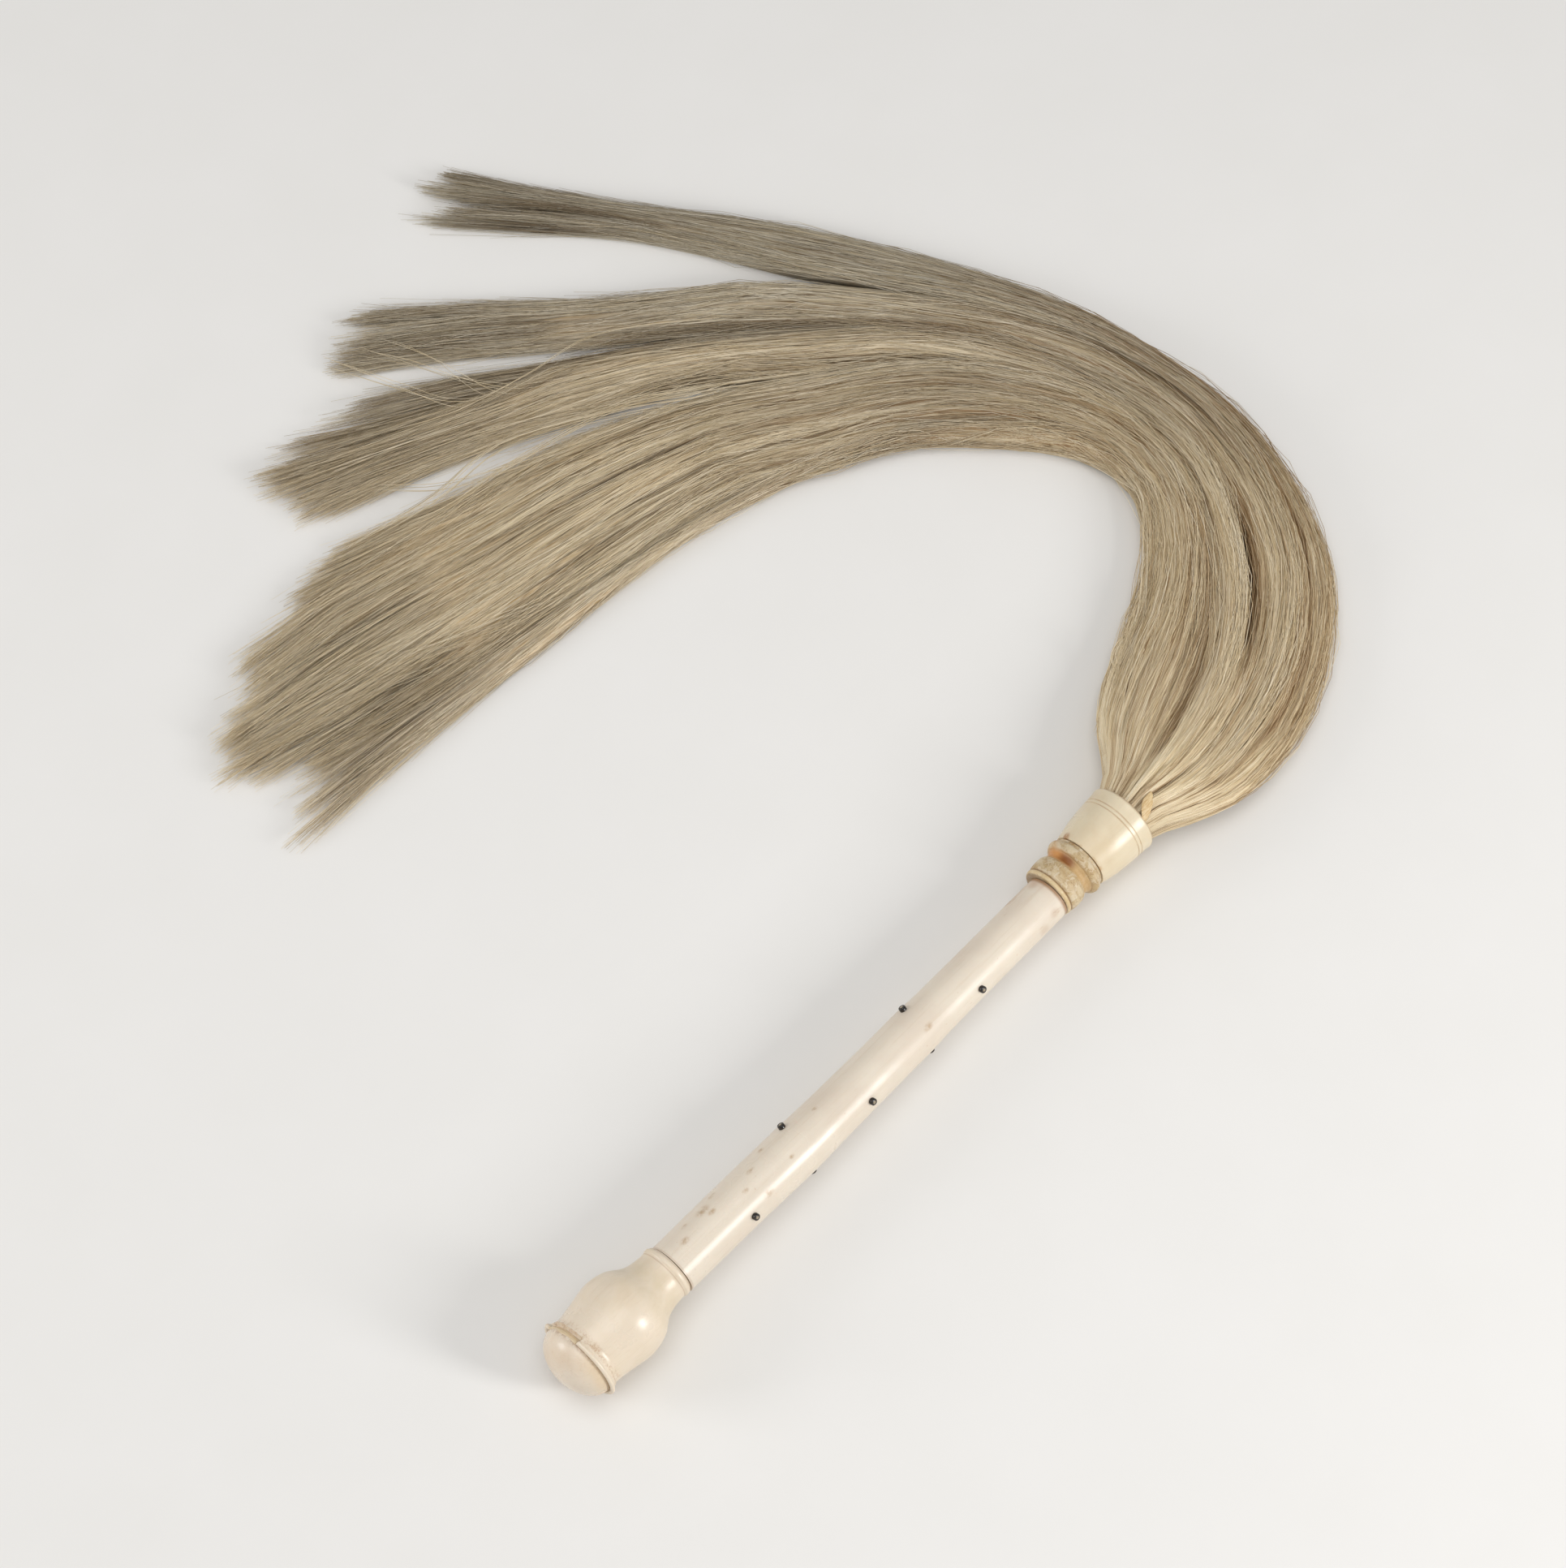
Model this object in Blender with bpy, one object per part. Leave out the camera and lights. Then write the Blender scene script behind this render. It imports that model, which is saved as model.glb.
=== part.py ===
# A fly whisk lying on a flat surface: a turned handle in four sections, and a tail of horse hair in its
# socket, swept round to the left and back. Every number is in millimetres, and meshes are scaled to metres
# as they are made. Places are measured from the socket's mouth: X along the handle from pommel to mouth,
# Y to the left of it, Z up from the surface.
import math
import random

import bmesh
import bpy
from mathutils import Matrix, Vector

MM = 0.001
FIT = 0.3  # clearance between pieces that touch on the real whisk
CUTTER_PAST = 5.0  # how far a cutter runs out of what it cuts

# The handle's overall sizes. It lies on its bulb and on the cup's rim.
HANDLE_LENGTH = 307.2
BULB_RADIUS = 17.5
BULB_X = -276.7
RIM_RADIUS = 14.8
SIDES = 28
SMALL_SIDES = 20
STUD_SIDES = 10
DOWEL_SIDES = 16

# Pommel: a domed cap that plugs into the flanged bulb, whose neck ends in a bead against the shaft
CAP_RADIUS = 15.2
CAP_PLUG_RADIUS = 5.0
CAP_PLUG_LENGTH = 7.0
FLANGE_FACE_X = -297.0
FLANGE_RADIUS = 17.3
FLANGE_ROUND = (0.7, 0.8)
NECK_RADIUS = 10.6
BULB_OUTLINE = [(-292.1, 15.2), (-286.2, 16.05), (BULB_X, BULB_RADIUS), (-268.9, 16.1), (-263.2, 12.5),
                (-258.9, 11.1), (-254.4, NECK_RADIUS)]
BEAD_X = -251.7
BEAD_ROUND = (1.2, 0.55)
BULB_END = (-249.9, 10.4)

# Shaft: radius at stations along it, and how far its middle lies right of the straight line
SHAFT_RADII = [(-249.6, 10.4), (-216, 10.45), (-183, 10.6), (-170, 10.15), (-148, 9.9), (-131, 9.73),
               (-121, 9.88), (-110, 9.35), (-88, 9.22), (-54, 9.15), (-44.5, 9.05)]
SHAFT_BOW = [(-249.6, 0.65), (-216, 0.9), (-180, 1.7), (-140, 1.75), (-104, 1.55), (-44.5, 1.4)]
POMMEL_DOWEL_RADIUS = 4.5
POMMEL_DOWEL_X = (-285.0, -231.0)
FERRULE_DOWEL_RADIUS = 4.2
FERRULE_DOWEL_X = (-63.0, -19.9)

# Dark studs: where each row's studs are, and each row's angle from the top towards the left
STUD_RADIUS = 1.5
STUD_DEPTH = 3.0
STUD_PROUD = 0.45
STUD_CROWN = 0.5
STUD_ROWS = {
    "right": (-59, (-215.4, -153.0, -91.8)),
    "left": (45, (-184.0, -118.8)),
    "under_left": (121, (-215.4, -153.0, -91.8)),
    "under_right": (-135, (-184.0, -118.8)),
}

# Ferrule: a stained collar with a lip, a barrel, a cove and a bead, then the socket cup
COLLAR_X = (-44.2, -25.6)
COLLAR_LIP_RADIUS = 10.9
COLLAR_LIP_ROUND = (1.1, 0.9)
COLLAR_BARREL = [(-41.7, 10.8), (-38.6, 11.4), (-35.8, 11.2), (-33.8, 10.2)]
COLLAR_COVE = (-32.4, 10.1)
COLLAR_BEAD_X = -28.7
COLLAR_BEAD_RADIUS = 12.5
COLLAR_BEAD_ROUND = (2.3, 2.0)
COLLAR_END_RADIUS = 11.1
CUP_BASE_X = -25.3
CUP_FLOOR_X = -19.0
CUP_BORE_RADII = (11.4, 12.9)
CUP_WALL = [(CUP_BASE_X, 11.7), (-22.5, 12.4), (-17.4, 13.4), (-9.5, 14.2)]
CUP_LINES = [(-7.6, 14.3), (-6.0, 14.35)]
CUP_LINE_SIZE = (0.4, 0.28)
CUP_LIP_START = (-3.0, 14.45)
CUP_LIP_ROUND = (1.1, 0.9)

# What the cup holds: pitch in its bottom, and the hair's root, bound with thread
PITCH_X = (-18.7, -15.3)
PITCH_RADII = (11.0, 11.2)
ROOT_X = (-15.0, -0.9)
ROOT_RADIUS = 10.1
ROOT_MOUTH_RADIUS = 12.3
BINDING_X = (-13.6, -7.4)
BINDING_RADII = (10.4, 11.3)

# Where the hair bends. At the mouth it lifts about a level line, oblique to the handle, and where the
# tail has spread out it sways about a vertical one.
LIFT_AT = (6.0, 0.0, 8.0)
SWAY_AT = (53.0, 9.0, 8.0)

# The tail in plan. Each rib runs from the tail's outer edge to its inner edge: outer X, outer Y, inner X,
# inner Y, height. Ribs follow each other along the hair.
TAIL_RIBS = [
    (39, -26.5, 24, 34, 24), (66, -26, 40, 44, 20.5), (92, -19, 57, 52, 18), (118, -5, 77, 60, 17),
    (140, 14, 94, 70, 17), (158, 45, 108, 83, 18), (168, 80, 115, 97, 18), (169, 115, 114, 115, 18),
    (163, 160, 105, 133, 16), (148, 203, 86, 157, 14), (134, 235, 64, 177, 12),
]
TAIL_REACH = 168.75
TAIL_LEFT = 396.4
TAIL_RIGHT = 26.0

# The locks that the tail parts into, with the same kind of ribs. Each lock may be parted again across its
# width, and ends in strands: cells across, cells high, and strand length.
LOCKS = {
    "top_lock": {
        "ribs": [(133.4, 235.6, 119, 223, 12), (119, 263, 104, 247, 11), (103, 291, 89, 272, 10),
                 (76, 333, 62, 318, 8), (50, 368, 34, 355, 7), (31, 398, 10, 388, 6)],
        "parts": ("upper", "lower"), "cells": (5, 2), "strands": 105},
    "second_lock": {
        "ribs": [(117.6, 222.2, 104.8, 211.6, 12), (101, 245, 89, 231, 11.5), (85, 266, 72, 250, 10.5),
                 (65, 285, 51, 270, 9.5), (33, 308, 21, 294, 8.5), (0, 342, -15, 325, 7.5),
                 (-22, 361, -36, 344, 7), (-50, 382, -64, 370, 6)],
        "parts": ("upper", "lower"), "cells": (6, 2), "strands": 100},
    "thin_lock": {
        "ribs": [(40, 277, 36.5, 273, 6), (18, 292, 13.5, 287, 6), (-2, 307, -8, 299.5, 6),
                 (-22, 322, -29, 311.5, 6), (-42, 336, -49, 322, 6), (-62, 348, -70, 332, 5.5),
                 (-80, 357, -86, 341, 5)],
        "parts": ("",), "cells": (4, 2), "strands": 70},
    "third_lock": {
        "ribs": [(104, 210.8, 90.4, 199.2, 12), (78, 237, 67, 220, 11.5), (42, 266, 31.5, 251, 10.5),
                 (0, 294, -10, 276.5, 9), (-47, 313, -56, 297, 8), (-95, 335, -104, 315, 7),
                 (-122, 351, -124, 321, 6)],
        "parts": ("upper", "lower"), "cells": (6, 2), "strands": 95},
    "main_lock": {
        "ribs": [(89.6, 198.4, 64.8, 177.8, 12), (60, 220.5, 38.5, 191, 12), (24, 246, 4, 210, 11),
                 (-24, 271, -45.5, 219.5, 10), (-72, 288, -97, 225, 9), (-107, 299, -133, 229.5, 8.5),
                 (-142, 306, -169, 237, 8), (-189, 304, -214, 252, 6.5)],
        "parts": ("outer", "middle", "inner"), "cells": (10, 2), "strands": 110},
    "fringe_lock": {
        "ribs": [(0, 209, -1, 205, 7), (-30, 214.5, -30.5, 211, 7), (-60, 218.5, -60.5, 214.5, 7),
                 (-100, 221.5, -100.5, 217.5, 6.5), (-140, 225.3, -140.5, 220.5, 6),
                 (-175, 230.5, -175.5, 222.5, 6), (-214, 237, -215, 224, 5.5)],
        "parts": ("",), "cells": (7, 2), "strands": 90},
}
LOCK_SECTIONS = 5  # stretches along a lock's body, before its strands
BUNDLE_SECTIONS = 5
BUNDLE_CELLS = (6, 1)
BUNDLE_START = 1.0  # the rib where the near bundles start
BUNDLE_BREAK = 5.0  # the rib between the near and the far bundles
BUNDLE_HALF_GAP = 0.006  # as a share of the stretch between two ribs
STRIP_GAP = 0.5
HAIR_CREASE = 60
STRAND_JOINTS = (0.34, 0.68, 1.0)  # where along a strand its sections are
STRAND_SIZES = (0.78, 0.66, 0.42)  # how much of its cell a strand fills there
RAGGED = 16.0  # how much shorter than its lock's end a strand may stop
RIDGE = 0.07  # depth of the ridges along the hair, as a share of its height

# The wedge that tightens the hair at the mouth: where its ends are, their widths and its thickness, and its
# angle round the mouth from the top towards the left
WEDGE_X = (-6.0, 7.0)
WEDGE_RADII = (9.4, 14.9)
WEDGE_WIDTHS = (2.6, 5.4)
WEDGE_THICK = 1.1
WEDGE_ANGLE = -34.0

# The hair between the mouth and the bundles: X, Y, half width, half height, middle's height and turn
WAIST_SIDES = 16
WAIST_RINGS = [(-0.5, 0, 12.2, 12.2, 14.8, 0), (8, 0.6, 16.5, 13.6, 14.8, 3), (18, 1.2, 24.0, 13.0, 13.6, 8),
               (31, 3.6, 30.5, 11.8, 12.2, 13.9), (52.5, 8.8, 37.1, 10.0, 10.4, 20.4)]

MOUTH_AT = Vector(((HANDLE_LENGTH - TAIL_REACH) / 2, (TAIL_RIGHT - TAIL_LEFT) / 2, 0))
AXIS_TILT = math.atan((BULB_RADIUS - RIM_RADIUS) / -BULB_X)


def clear_scene():
    for thing in list(bpy.data.objects):
        bpy.data.objects.remove(thing)


def make_material(name, colour, roughness, metallic=0.0):
    material = bpy.data.materials.new(name)
    material.use_nodes = True
    shader = material.node_tree.nodes["Principled BSDF"]
    shader.inputs["Base Color"].default_value = (*colour, 1)
    shader.inputs["Roughness"].default_value = roughness
    shader.inputs["Metallic"].default_value = metallic
    return material


def add_pivot(name, x, y, z, tilt=0.0):
    pivot = bpy.data.objects.new(name, None)
    pivot.location = (MOUTH_AT + Vector((x, y, z))) * MM
    pivot.rotation_euler.y = tilt
    pivot.empty_display_size = 20 * MM
    bpy.context.scene.collection.objects.link(pivot)
    return pivot


def add_piece(name, bm, material, parent, shift=(0, 0, 0), smooth=40):
    """Makes an object of bm, whose points are in mm from the mouth less shift, where its parent is."""
    bmesh.ops.recalc_face_normals(bm, faces=bm.faces)
    bm.transform(Matrix.Scale(MM, 4) @ Matrix.Translation(-Vector(shift)))
    mesh = bpy.data.meshes.new(name)
    bm.to_mesh(mesh)
    bm.free()
    mesh.shade_smooth()
    mesh.set_sharp_from_angle(angle=math.radians(smooth))
    mesh.materials.append(material)
    piece = bpy.data.objects.new(name, mesh)
    piece.parent = parent
    bpy.context.scene.collection.objects.link(piece)
    return piece


def turn(outline, sides=SIDES):
    """A solid of revolution about X, from (x, radius) points. They run from axis to axis, or round a ring."""
    bm = bmesh.new()
    points = [bm.verts.new((x, 0, radius)) for x, radius in outline]
    edges = [bm.edges.new(pair) for pair in zip(points, points[1:])]
    if outline[0][1] > 0:
        edges.append(bm.edges.new((points[-1], points[0])))
    bmesh.ops.spin(bm, geom=points + edges, cent=(0, 0, 0), axis=(1, 0, 0), angle=math.tau, steps=sides)
    bmesh.ops.remove_doubles(bm, verts=bm.verts, dist=0.001)
    return bm


def arc(x, radius, reach, rise, start, end, count):
    """Points (x, radius) round part of an ellipse, with angles from +X towards larger radius."""
    angles = [math.radians(start + (end - start) * i / count) for i in range(count + 1)]
    return [(x + reach * math.cos(a), radius + rise * math.sin(a)) for a in angles]


def curve_value(values, s):
    """The Catmull-Rom curve through rows of numbers, read at place s, where row i is at s = i."""
    last = len(values) - 1
    i = min(max(int(s), 0), last - 1)
    t = s - i
    rows = [values[min(max(i + k, 0), last)] for k in (-1, 0, 1, 2)]
    return [
        0.5 * (2 * b + (c - a) * t + (2 * a - 5 * b + 4 * c - d) * t * t + (3 * b - a - 3 * c + d) * t**3)
        for a, b, c, d in zip(*rows)
    ]


def smooth_profile(points, per_span):
    """Points along the curve through (x, radius) stations."""
    count = (len(points) - 1) * per_span
    return [tuple(curve_value(points, i / per_span)) for i in range(count + 1)]


def value_at(table, x):
    """Straight interpolation in a table of (x, value) pairs."""
    for (x0, v0), (x1, v1) in zip(table, table[1:]):
        if x <= x1:
            return v0 + (v1 - v0) * max(0.0, x - x0) / (x1 - x0)
    return table[-1][1]


def cylinder(x0, x1, radius, sides=DOWEL_SIDES):
    return turn([(x0, 0), (x0, radius), (x1, radius), (x1, 0)], sides)


def cut(piece, cutter_name, bm, parent):
    cutter = add_piece(cutter_name, bm, piece.data.materials[0], parent)
    cutter.hide_render = True
    cutter.display_type = "WIRE"
    modifier = piece.modifiers.new(cutter_name, "BOOLEAN")
    modifier.operation = "DIFFERENCE"
    modifier.object = cutter


def make_pommel(ivory, bone, axis):
    base_x = FLANGE_FACE_X - FIT
    plug_end = FLANGE_FACE_X + CAP_PLUG_LENGTH
    dome = arc(base_x, 0, base_x + HANDLE_LENGTH, CAP_RADIUS, 180, 90, 7)
    plug = [(base_x, CAP_PLUG_RADIUS), (plug_end, CAP_PLUG_RADIUS), (plug_end, 0)]
    add_piece("pommel_cap", turn(dome + plug), ivory, axis)

    bore, bore_end = CAP_PLUG_RADIUS + FIT, plug_end + FIT
    plug_bore = [(bore_end, 0), (bore_end, bore), (FLANGE_FACE_X, bore)]
    reach, rise = FLANGE_ROUND
    flange = arc(FLANGE_FACE_X + reach, FLANGE_RADIUS - rise, reach, rise, 180, 0, 4)
    bead = arc(BEAD_X, NECK_RADIUS, *BEAD_ROUND, 150, 20, 3)
    bore, bore_end = POMMEL_DOWEL_RADIUS + FIT, POMMEL_DOWEL_X[0] - FIT
    dowel_bore = [BULB_END, (BULB_END[0], bore), (bore_end, bore), (bore_end, 0)]
    bulb = plug_bore + flange + smooth_profile(BULB_OUTLINE, 2) + bead + dowel_bore
    add_piece("pommel_bulb", turn(bulb), ivory, axis)
    add_piece("pommel_dowel", cylinder(*POMMEL_DOWEL_X, POMMEL_DOWEL_RADIUS), bone, axis)


def make_shaft(ivory, axis):
    """The shaft is turned straight, bent to its slight bow, then bored straight for the two dowels."""
    start, end = SHAFT_RADII[0][0], SHAFT_RADII[-1][0]
    bm = turn([(start, 0)] + SHAFT_RADII + [(end, 0)])
    for vert in bm.verts:
        vert.co.y -= value_at(SHAFT_BOW, vert.co.x)
    shaft = add_piece("shaft", bm, ivory, axis)
    bore = cylinder(start - CUTTER_PAST, POMMEL_DOWEL_X[1] + FIT, POMMEL_DOWEL_RADIUS + FIT)
    cut(shaft, "pommel_bore", bore, axis)
    bore = cylinder(FERRULE_DOWEL_X[0] - FIT, end + CUTTER_PAST, FERRULE_DOWEL_RADIUS + FIT)
    cut(shaft, "ferrule_bore", bore, axis)
    return shaft


def stud_place(angle, x):
    """The turn and shift that stand a stud, made along +X from its foot, in the shaft's surface."""
    radius = value_at(SHAFT_RADII, x)
    lean = math.radians(angle)
    outward = Vector((0, math.sin(lean), math.cos(lean)))
    middle = Vector((x, -value_at(SHAFT_BOW, x), 0))
    facing = outward.to_track_quat("X", "Z").to_matrix().to_4x4()
    return Matrix.Translation(middle + outward * (radius - STUD_DEPTH)) @ facing


def make_studs(dark, shaft, axis):
    top = STUD_DEPTH + STUD_PROUD
    outline = [(0, 0), (0, STUD_RADIUS), (top - STUD_CROWN, STUD_RADIUS), (top, STUD_RADIUS / 2), (top, 0)]
    for row, (angle, places) in STUD_ROWS.items():
        for number, x in enumerate(places, 1):
            stud = turn(outline, STUD_SIDES)
            stud.transform(stud_place(angle, x))
            add_piece(f"stud_{row}_{number}", stud, dark, axis)
            hole = cylinder(-FIT, STUD_DEPTH + CUTTER_PAST, STUD_RADIUS + FIT, STUD_SIDES)
            hole.transform(stud_place(angle, x))
            cut(shaft, f"stud_hole_{row}_{number}", hole, axis)


def make_ferrule(stained, ivory, bone, axis):
    start, end = COLLAR_X
    bore = FERRULE_DOWEL_RADIUS + FIT
    reach, rise = COLLAR_LIP_ROUND
    lip = arc(start + reach, COLLAR_LIP_RADIUS - rise, reach, rise, 180, 40, 3)
    barrel = smooth_profile(COLLAR_BARREL, 2)
    reach, rise = COLLAR_BEAD_ROUND
    bead = arc(COLLAR_BEAD_X, COLLAR_BEAD_RADIUS - rise, reach, rise, 175, 25, 6)
    collar = [(start, bore)] + lip + barrel + [COLLAR_COVE] + bead + [(end, COLLAR_END_RADIUS), (end, bore)]
    add_piece("ferrule_collar", turn(collar), stained, axis)
    add_piece("ferrule_dowel", cylinder(*FERRULE_DOWEL_X, FERRULE_DOWEL_RADIUS), bone, axis)

    half_width, depth = CUP_LINE_SIZE
    lines = []
    for x, radius in CUP_LINES:
        lines += [(x - half_width, radius), (x, radius - depth), (x + half_width, radius)]
    reach, rise = CUP_LIP_ROUND
    lip = [CUP_LIP_START] + arc(-reach, RIM_RADIUS - rise, reach, rise, 130, 0, 4)
    inside = [(0, CUP_BORE_RADII[1]), (CUP_FLOOR_X, CUP_BORE_RADII[0]), (CUP_FLOOR_X, bore), (CUP_BASE_X, bore)]
    add_piece("ferrule_cup", turn(smooth_profile(CUP_WALL, 2) + lines + lip + inside), ivory, axis)


def wedge_shape(spare):
    """The tapered wedge, grown by spare on every side, with its length along its own X."""
    length = math.hypot(WEDGE_X[1] - WEDGE_X[0], WEDGE_RADII[1] - WEDGE_RADII[0])
    bm = bmesh.new()
    bmesh.ops.create_cube(bm, size=1)
    for vert in bm.verts:
        end = vert.co.x > 0
        side = 2 * vert.co.y * (WEDGE_WIDTHS[end] / 2 + spare)
        vert.co = (length * end + (spare if end else -spare), side, 2 * vert.co.z * (WEDGE_THICK / 2 + spare))
    slope = math.atan2(WEDGE_RADII[1] - WEDGE_RADII[0], WEDGE_X[1] - WEDGE_X[0])
    stand = Matrix.Translation((WEDGE_X[0], 0, WEDGE_RADII[0])) @ Matrix.Rotation(-slope, 4, "Y")
    bm.transform(Matrix.Rotation(math.radians(-WEDGE_ANGLE), 4, "X") @ stand)
    return bm


def make_root(pitch, hair, thread, hide, axis):
    """What holds the hair in the cup: pitch in its bottom, the bound root, and a wedge at the mouth."""
    add_piece("root_wedge", wedge_shape(0), hide, axis)
    (start, end), (floor, top) = PITCH_X, PITCH_RADII
    plug = turn([(start, 0), (start, floor), (end, top), (end, 0)], SMALL_SIDES)
    add_piece("socket_pitch", plug, pitch, axis)
    start, end = ROOT_X
    flare = BINDING_X[1] + 2 * FIT
    root = [(start, 0), (start, ROOT_RADIUS), (flare, ROOT_RADIUS), (end, ROOT_MOUTH_RADIUS), (end, 0)]
    bundle = add_piece("hair_root", turn(root, SMALL_SIDES), hair, axis)
    cut(bundle, "wedge_slot", wedge_shape(FIT), axis)
    start, end = BINDING_X
    inner, outer = BINDING_RADII
    binding = turn([(start, inner), (start, outer), (end, outer), (end, inner)], SMALL_SIDES)
    add_piece("root_binding", binding, thread, axis)


def hair_point(ribs, s, u, v, ridge=0.0):
    """A point of a body of hair: s along its ribs, u from outer to inner edge, v from underside to top."""
    outer_x, outer_y, inner_x, inner_y, height = curve_value(ribs, s)
    arch = 0.6 + 0.4 * math.sqrt(max(0.0, 1 - (2 * u - 1) ** 2))
    u = 0.5 + (u - 0.5) * (1 - 0.1 * v)
    return Vector((
        outer_x + (inner_x - outer_x) * u,
        outer_y + (inner_y - outer_y) * u,
        height * v * (arch - ridge),
    ))


def narrowed(ribs, u0, u1, gap):
    """The ribs of the strip from u0 to u1 across wider ribs, drawn in by half a gap on each side."""
    strip = []
    for outer_x, outer_y, inner_x, inner_y, height in ribs:
        across = Vector((inner_x - outer_x, inner_y - outer_y))
        inset = across.normalized() * gap / 2
        outer = Vector((outer_x, outer_y)) + across * u0 + inset
        inner = Vector((outer_x, outer_y)) + across * u1 - inset
        strip.append((*outer, *inner, height))
    return strip


def span_lengths(ribs):
    """How far along the hair each rib is, on the line through the ribs' middles."""
    middles = [Vector(((rib[0] + rib[2]) / 2, (rib[1] + rib[3]) / 2)) for rib in ribs]
    lengths = [0.0]
    for a, b in zip(middles, middles[1:]):
        lengths.append(lengths[-1] + (b - a).length)
    return lengths


def place_of_length(lengths, wanted):
    """The place s along ribs whose lengths are given, at a wanted length."""
    for i, (a, b) in enumerate(zip(lengths, lengths[1:])):
        if wanted <= b:
            return i + (wanted - a) / (b - a)
    return len(lengths) - 1


def push_out(bm, front, keep_back):
    """Extrudes the faces of a body's end, and gives the new end's faces and points."""
    made = bmesh.ops.extrude_face_region(bm, geom=front)["geom"]
    if not keep_back:
        bmesh.ops.delete(bm, geom=[face for face in front if face.is_valid], context="FACES")
    faces = [item for item in made if isinstance(item, bmesh.types.BMFace)]
    return faces, [item for item in made if isinstance(item, bmesh.types.BMVert)]


def sweep_hair(ribs, places, cells):
    """A closed body through sections at the given places, and the faces of its far end."""
    across, high = cells
    bm = bmesh.new()
    for name in ("u", "v", "end"):
        bm.verts.layers.float.new(name)
    u_layer, v_layer = (bm.verts.layers.float[name] for name in ("u", "v"))
    bmesh.ops.create_grid(bm, x_segments=across, y_segments=high, size=0.5)
    for vert in bm.verts:
        vert[u_layer], vert[v_layer] = vert.co.x + 0.5, vert.co.y + 0.5

    def put(verts, s):
        for vert in verts:
            u, v = vert[u_layer], vert[v_layer]
            in_valley = round(u * across) % 2 == 1 and v > 0.9
            vert.co = hair_point(ribs, s, u, v, RIDGE if in_valley else 0.0)

    put(bm.verts, places[0])
    front = list(bm.faces)
    for number, s in enumerate(places[1:]):
        front, verts = push_out(bm, front, number == 0)
        put(verts, s)
    return bm, front


def grow_strands(bm, front, ribs, lengths, start, chance):
    """Draws each triangle of the end out into a strand that follows the hair and thins towards its tip."""
    u_layer, v_layer, end_layer = (bm.verts.layers.float[name] for name in ("u", "v", "end"))
    faces = bmesh.ops.triangulate(bm, faces=front)["faces"]
    for joint, size in zip(STRAND_JOINTS, STRAND_SIZES):
        faces = bmesh.ops.extrude_discrete_faces(bm, faces=faces)["faces"]
        for face in faces:
            if joint == STRAND_JOINTS[0]:
                end = lengths[-1] - RAGGED * chance.random()
                for vert in face.verts:
                    vert[end_layer] = end
            end = face.verts[0][end_layer]
            s = place_of_length(lengths, start + (end - start) * joint)
            corners = [(vert[u_layer], vert[v_layer]) for vert in face.verts]
            middle = [sum(corner[k] for corner in corners) / 3 for k in (0, 1)]
            for vert, corner in zip(face.verts, corners):
                u, v = (m + (c - m) * size for c, m in zip(corner, middle))
                vert.co = hair_point(ribs, s, u, v)


def make_waist(hair, bend, axis):
    """The hair just past the mouth, flaring from the round root to the flat start of the tail."""
    angles = [math.tau * i / WAIST_SIDES for i in range(WAIST_SIDES)]
    bm = bmesh.new()
    ring = [bm.verts.new((0, 0, 0)) for _ in angles]
    front = [bm.faces.new(ring)]
    for number, (x, y, half_width, half_height, z, turned) in enumerate(WAIST_RINGS):
        if number:
            front, _ = push_out(bm, front, number == 1)
            ring = list(front[0].verts)
        lean = math.radians(turned)
        for vert, angle in zip(ring, angles):
            side = half_width * math.cos(angle)
            vert.co = (x - side * math.sin(lean), y + side * math.cos(lean), z + half_height * math.sin(angle))
    waist = add_piece("hair_waist", bm, hair, bend, LIFT_AT)
    cut(waist, "waist_slot", wedge_shape(FIT), axis)


def make_bundles(hair, bend):
    """The tail's thick first half, in three strips side by side and two stretches."""
    gap = BUNDLE_HALF_GAP
    last = len(TAIL_RIBS) - 1
    stretches = {"near": (BUNDLE_START, BUNDLE_BREAK - gap), "far": (BUNDLE_BREAK + gap, last - 2 * gap)}
    strips = {"outer": (0, 1 / 3), "middle": (1 / 3, 2 / 3), "inner": (2 / 3, 1)}
    for strip, (u0, u1) in strips.items():
        ribs = narrowed(TAIL_RIBS, u0, u1, STRIP_GAP)
        for stretch, (s0, s1) in stretches.items():
            places = [s0 + (s1 - s0) * i / BUNDLE_SECTIONS for i in range(BUNDLE_SECTIONS + 1)]
            bm = sweep_hair(ribs, places, BUNDLE_CELLS)[0]
            add_piece(f"{stretch}_bundle_{strip}", bm, hair, bend, SWAY_AT, HAIR_CREASE)


def make_locks(hair, bend):
    chance = random.Random(5)
    for name, lock in LOCKS.items():
        parts = lock["parts"]
        for number, part in enumerate(parts):
            ribs = narrowed(lock["ribs"], number / len(parts), (number + 1) / len(parts), STRIP_GAP)
            lengths = span_lengths(ribs)
            start = lengths[-1] - lock["strands"]
            places = [place_of_length(lengths, start * i / LOCK_SECTIONS) for i in range(LOCK_SECTIONS + 1)]
            bm, front = sweep_hair(ribs, places, lock["cells"])
            grow_strands(bm, front, ribs, lengths, start, chance)
            title = f"{name}_{part}" if part else name
            add_piece(title, bm, hair, bend, SWAY_AT, HAIR_CREASE)


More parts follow.
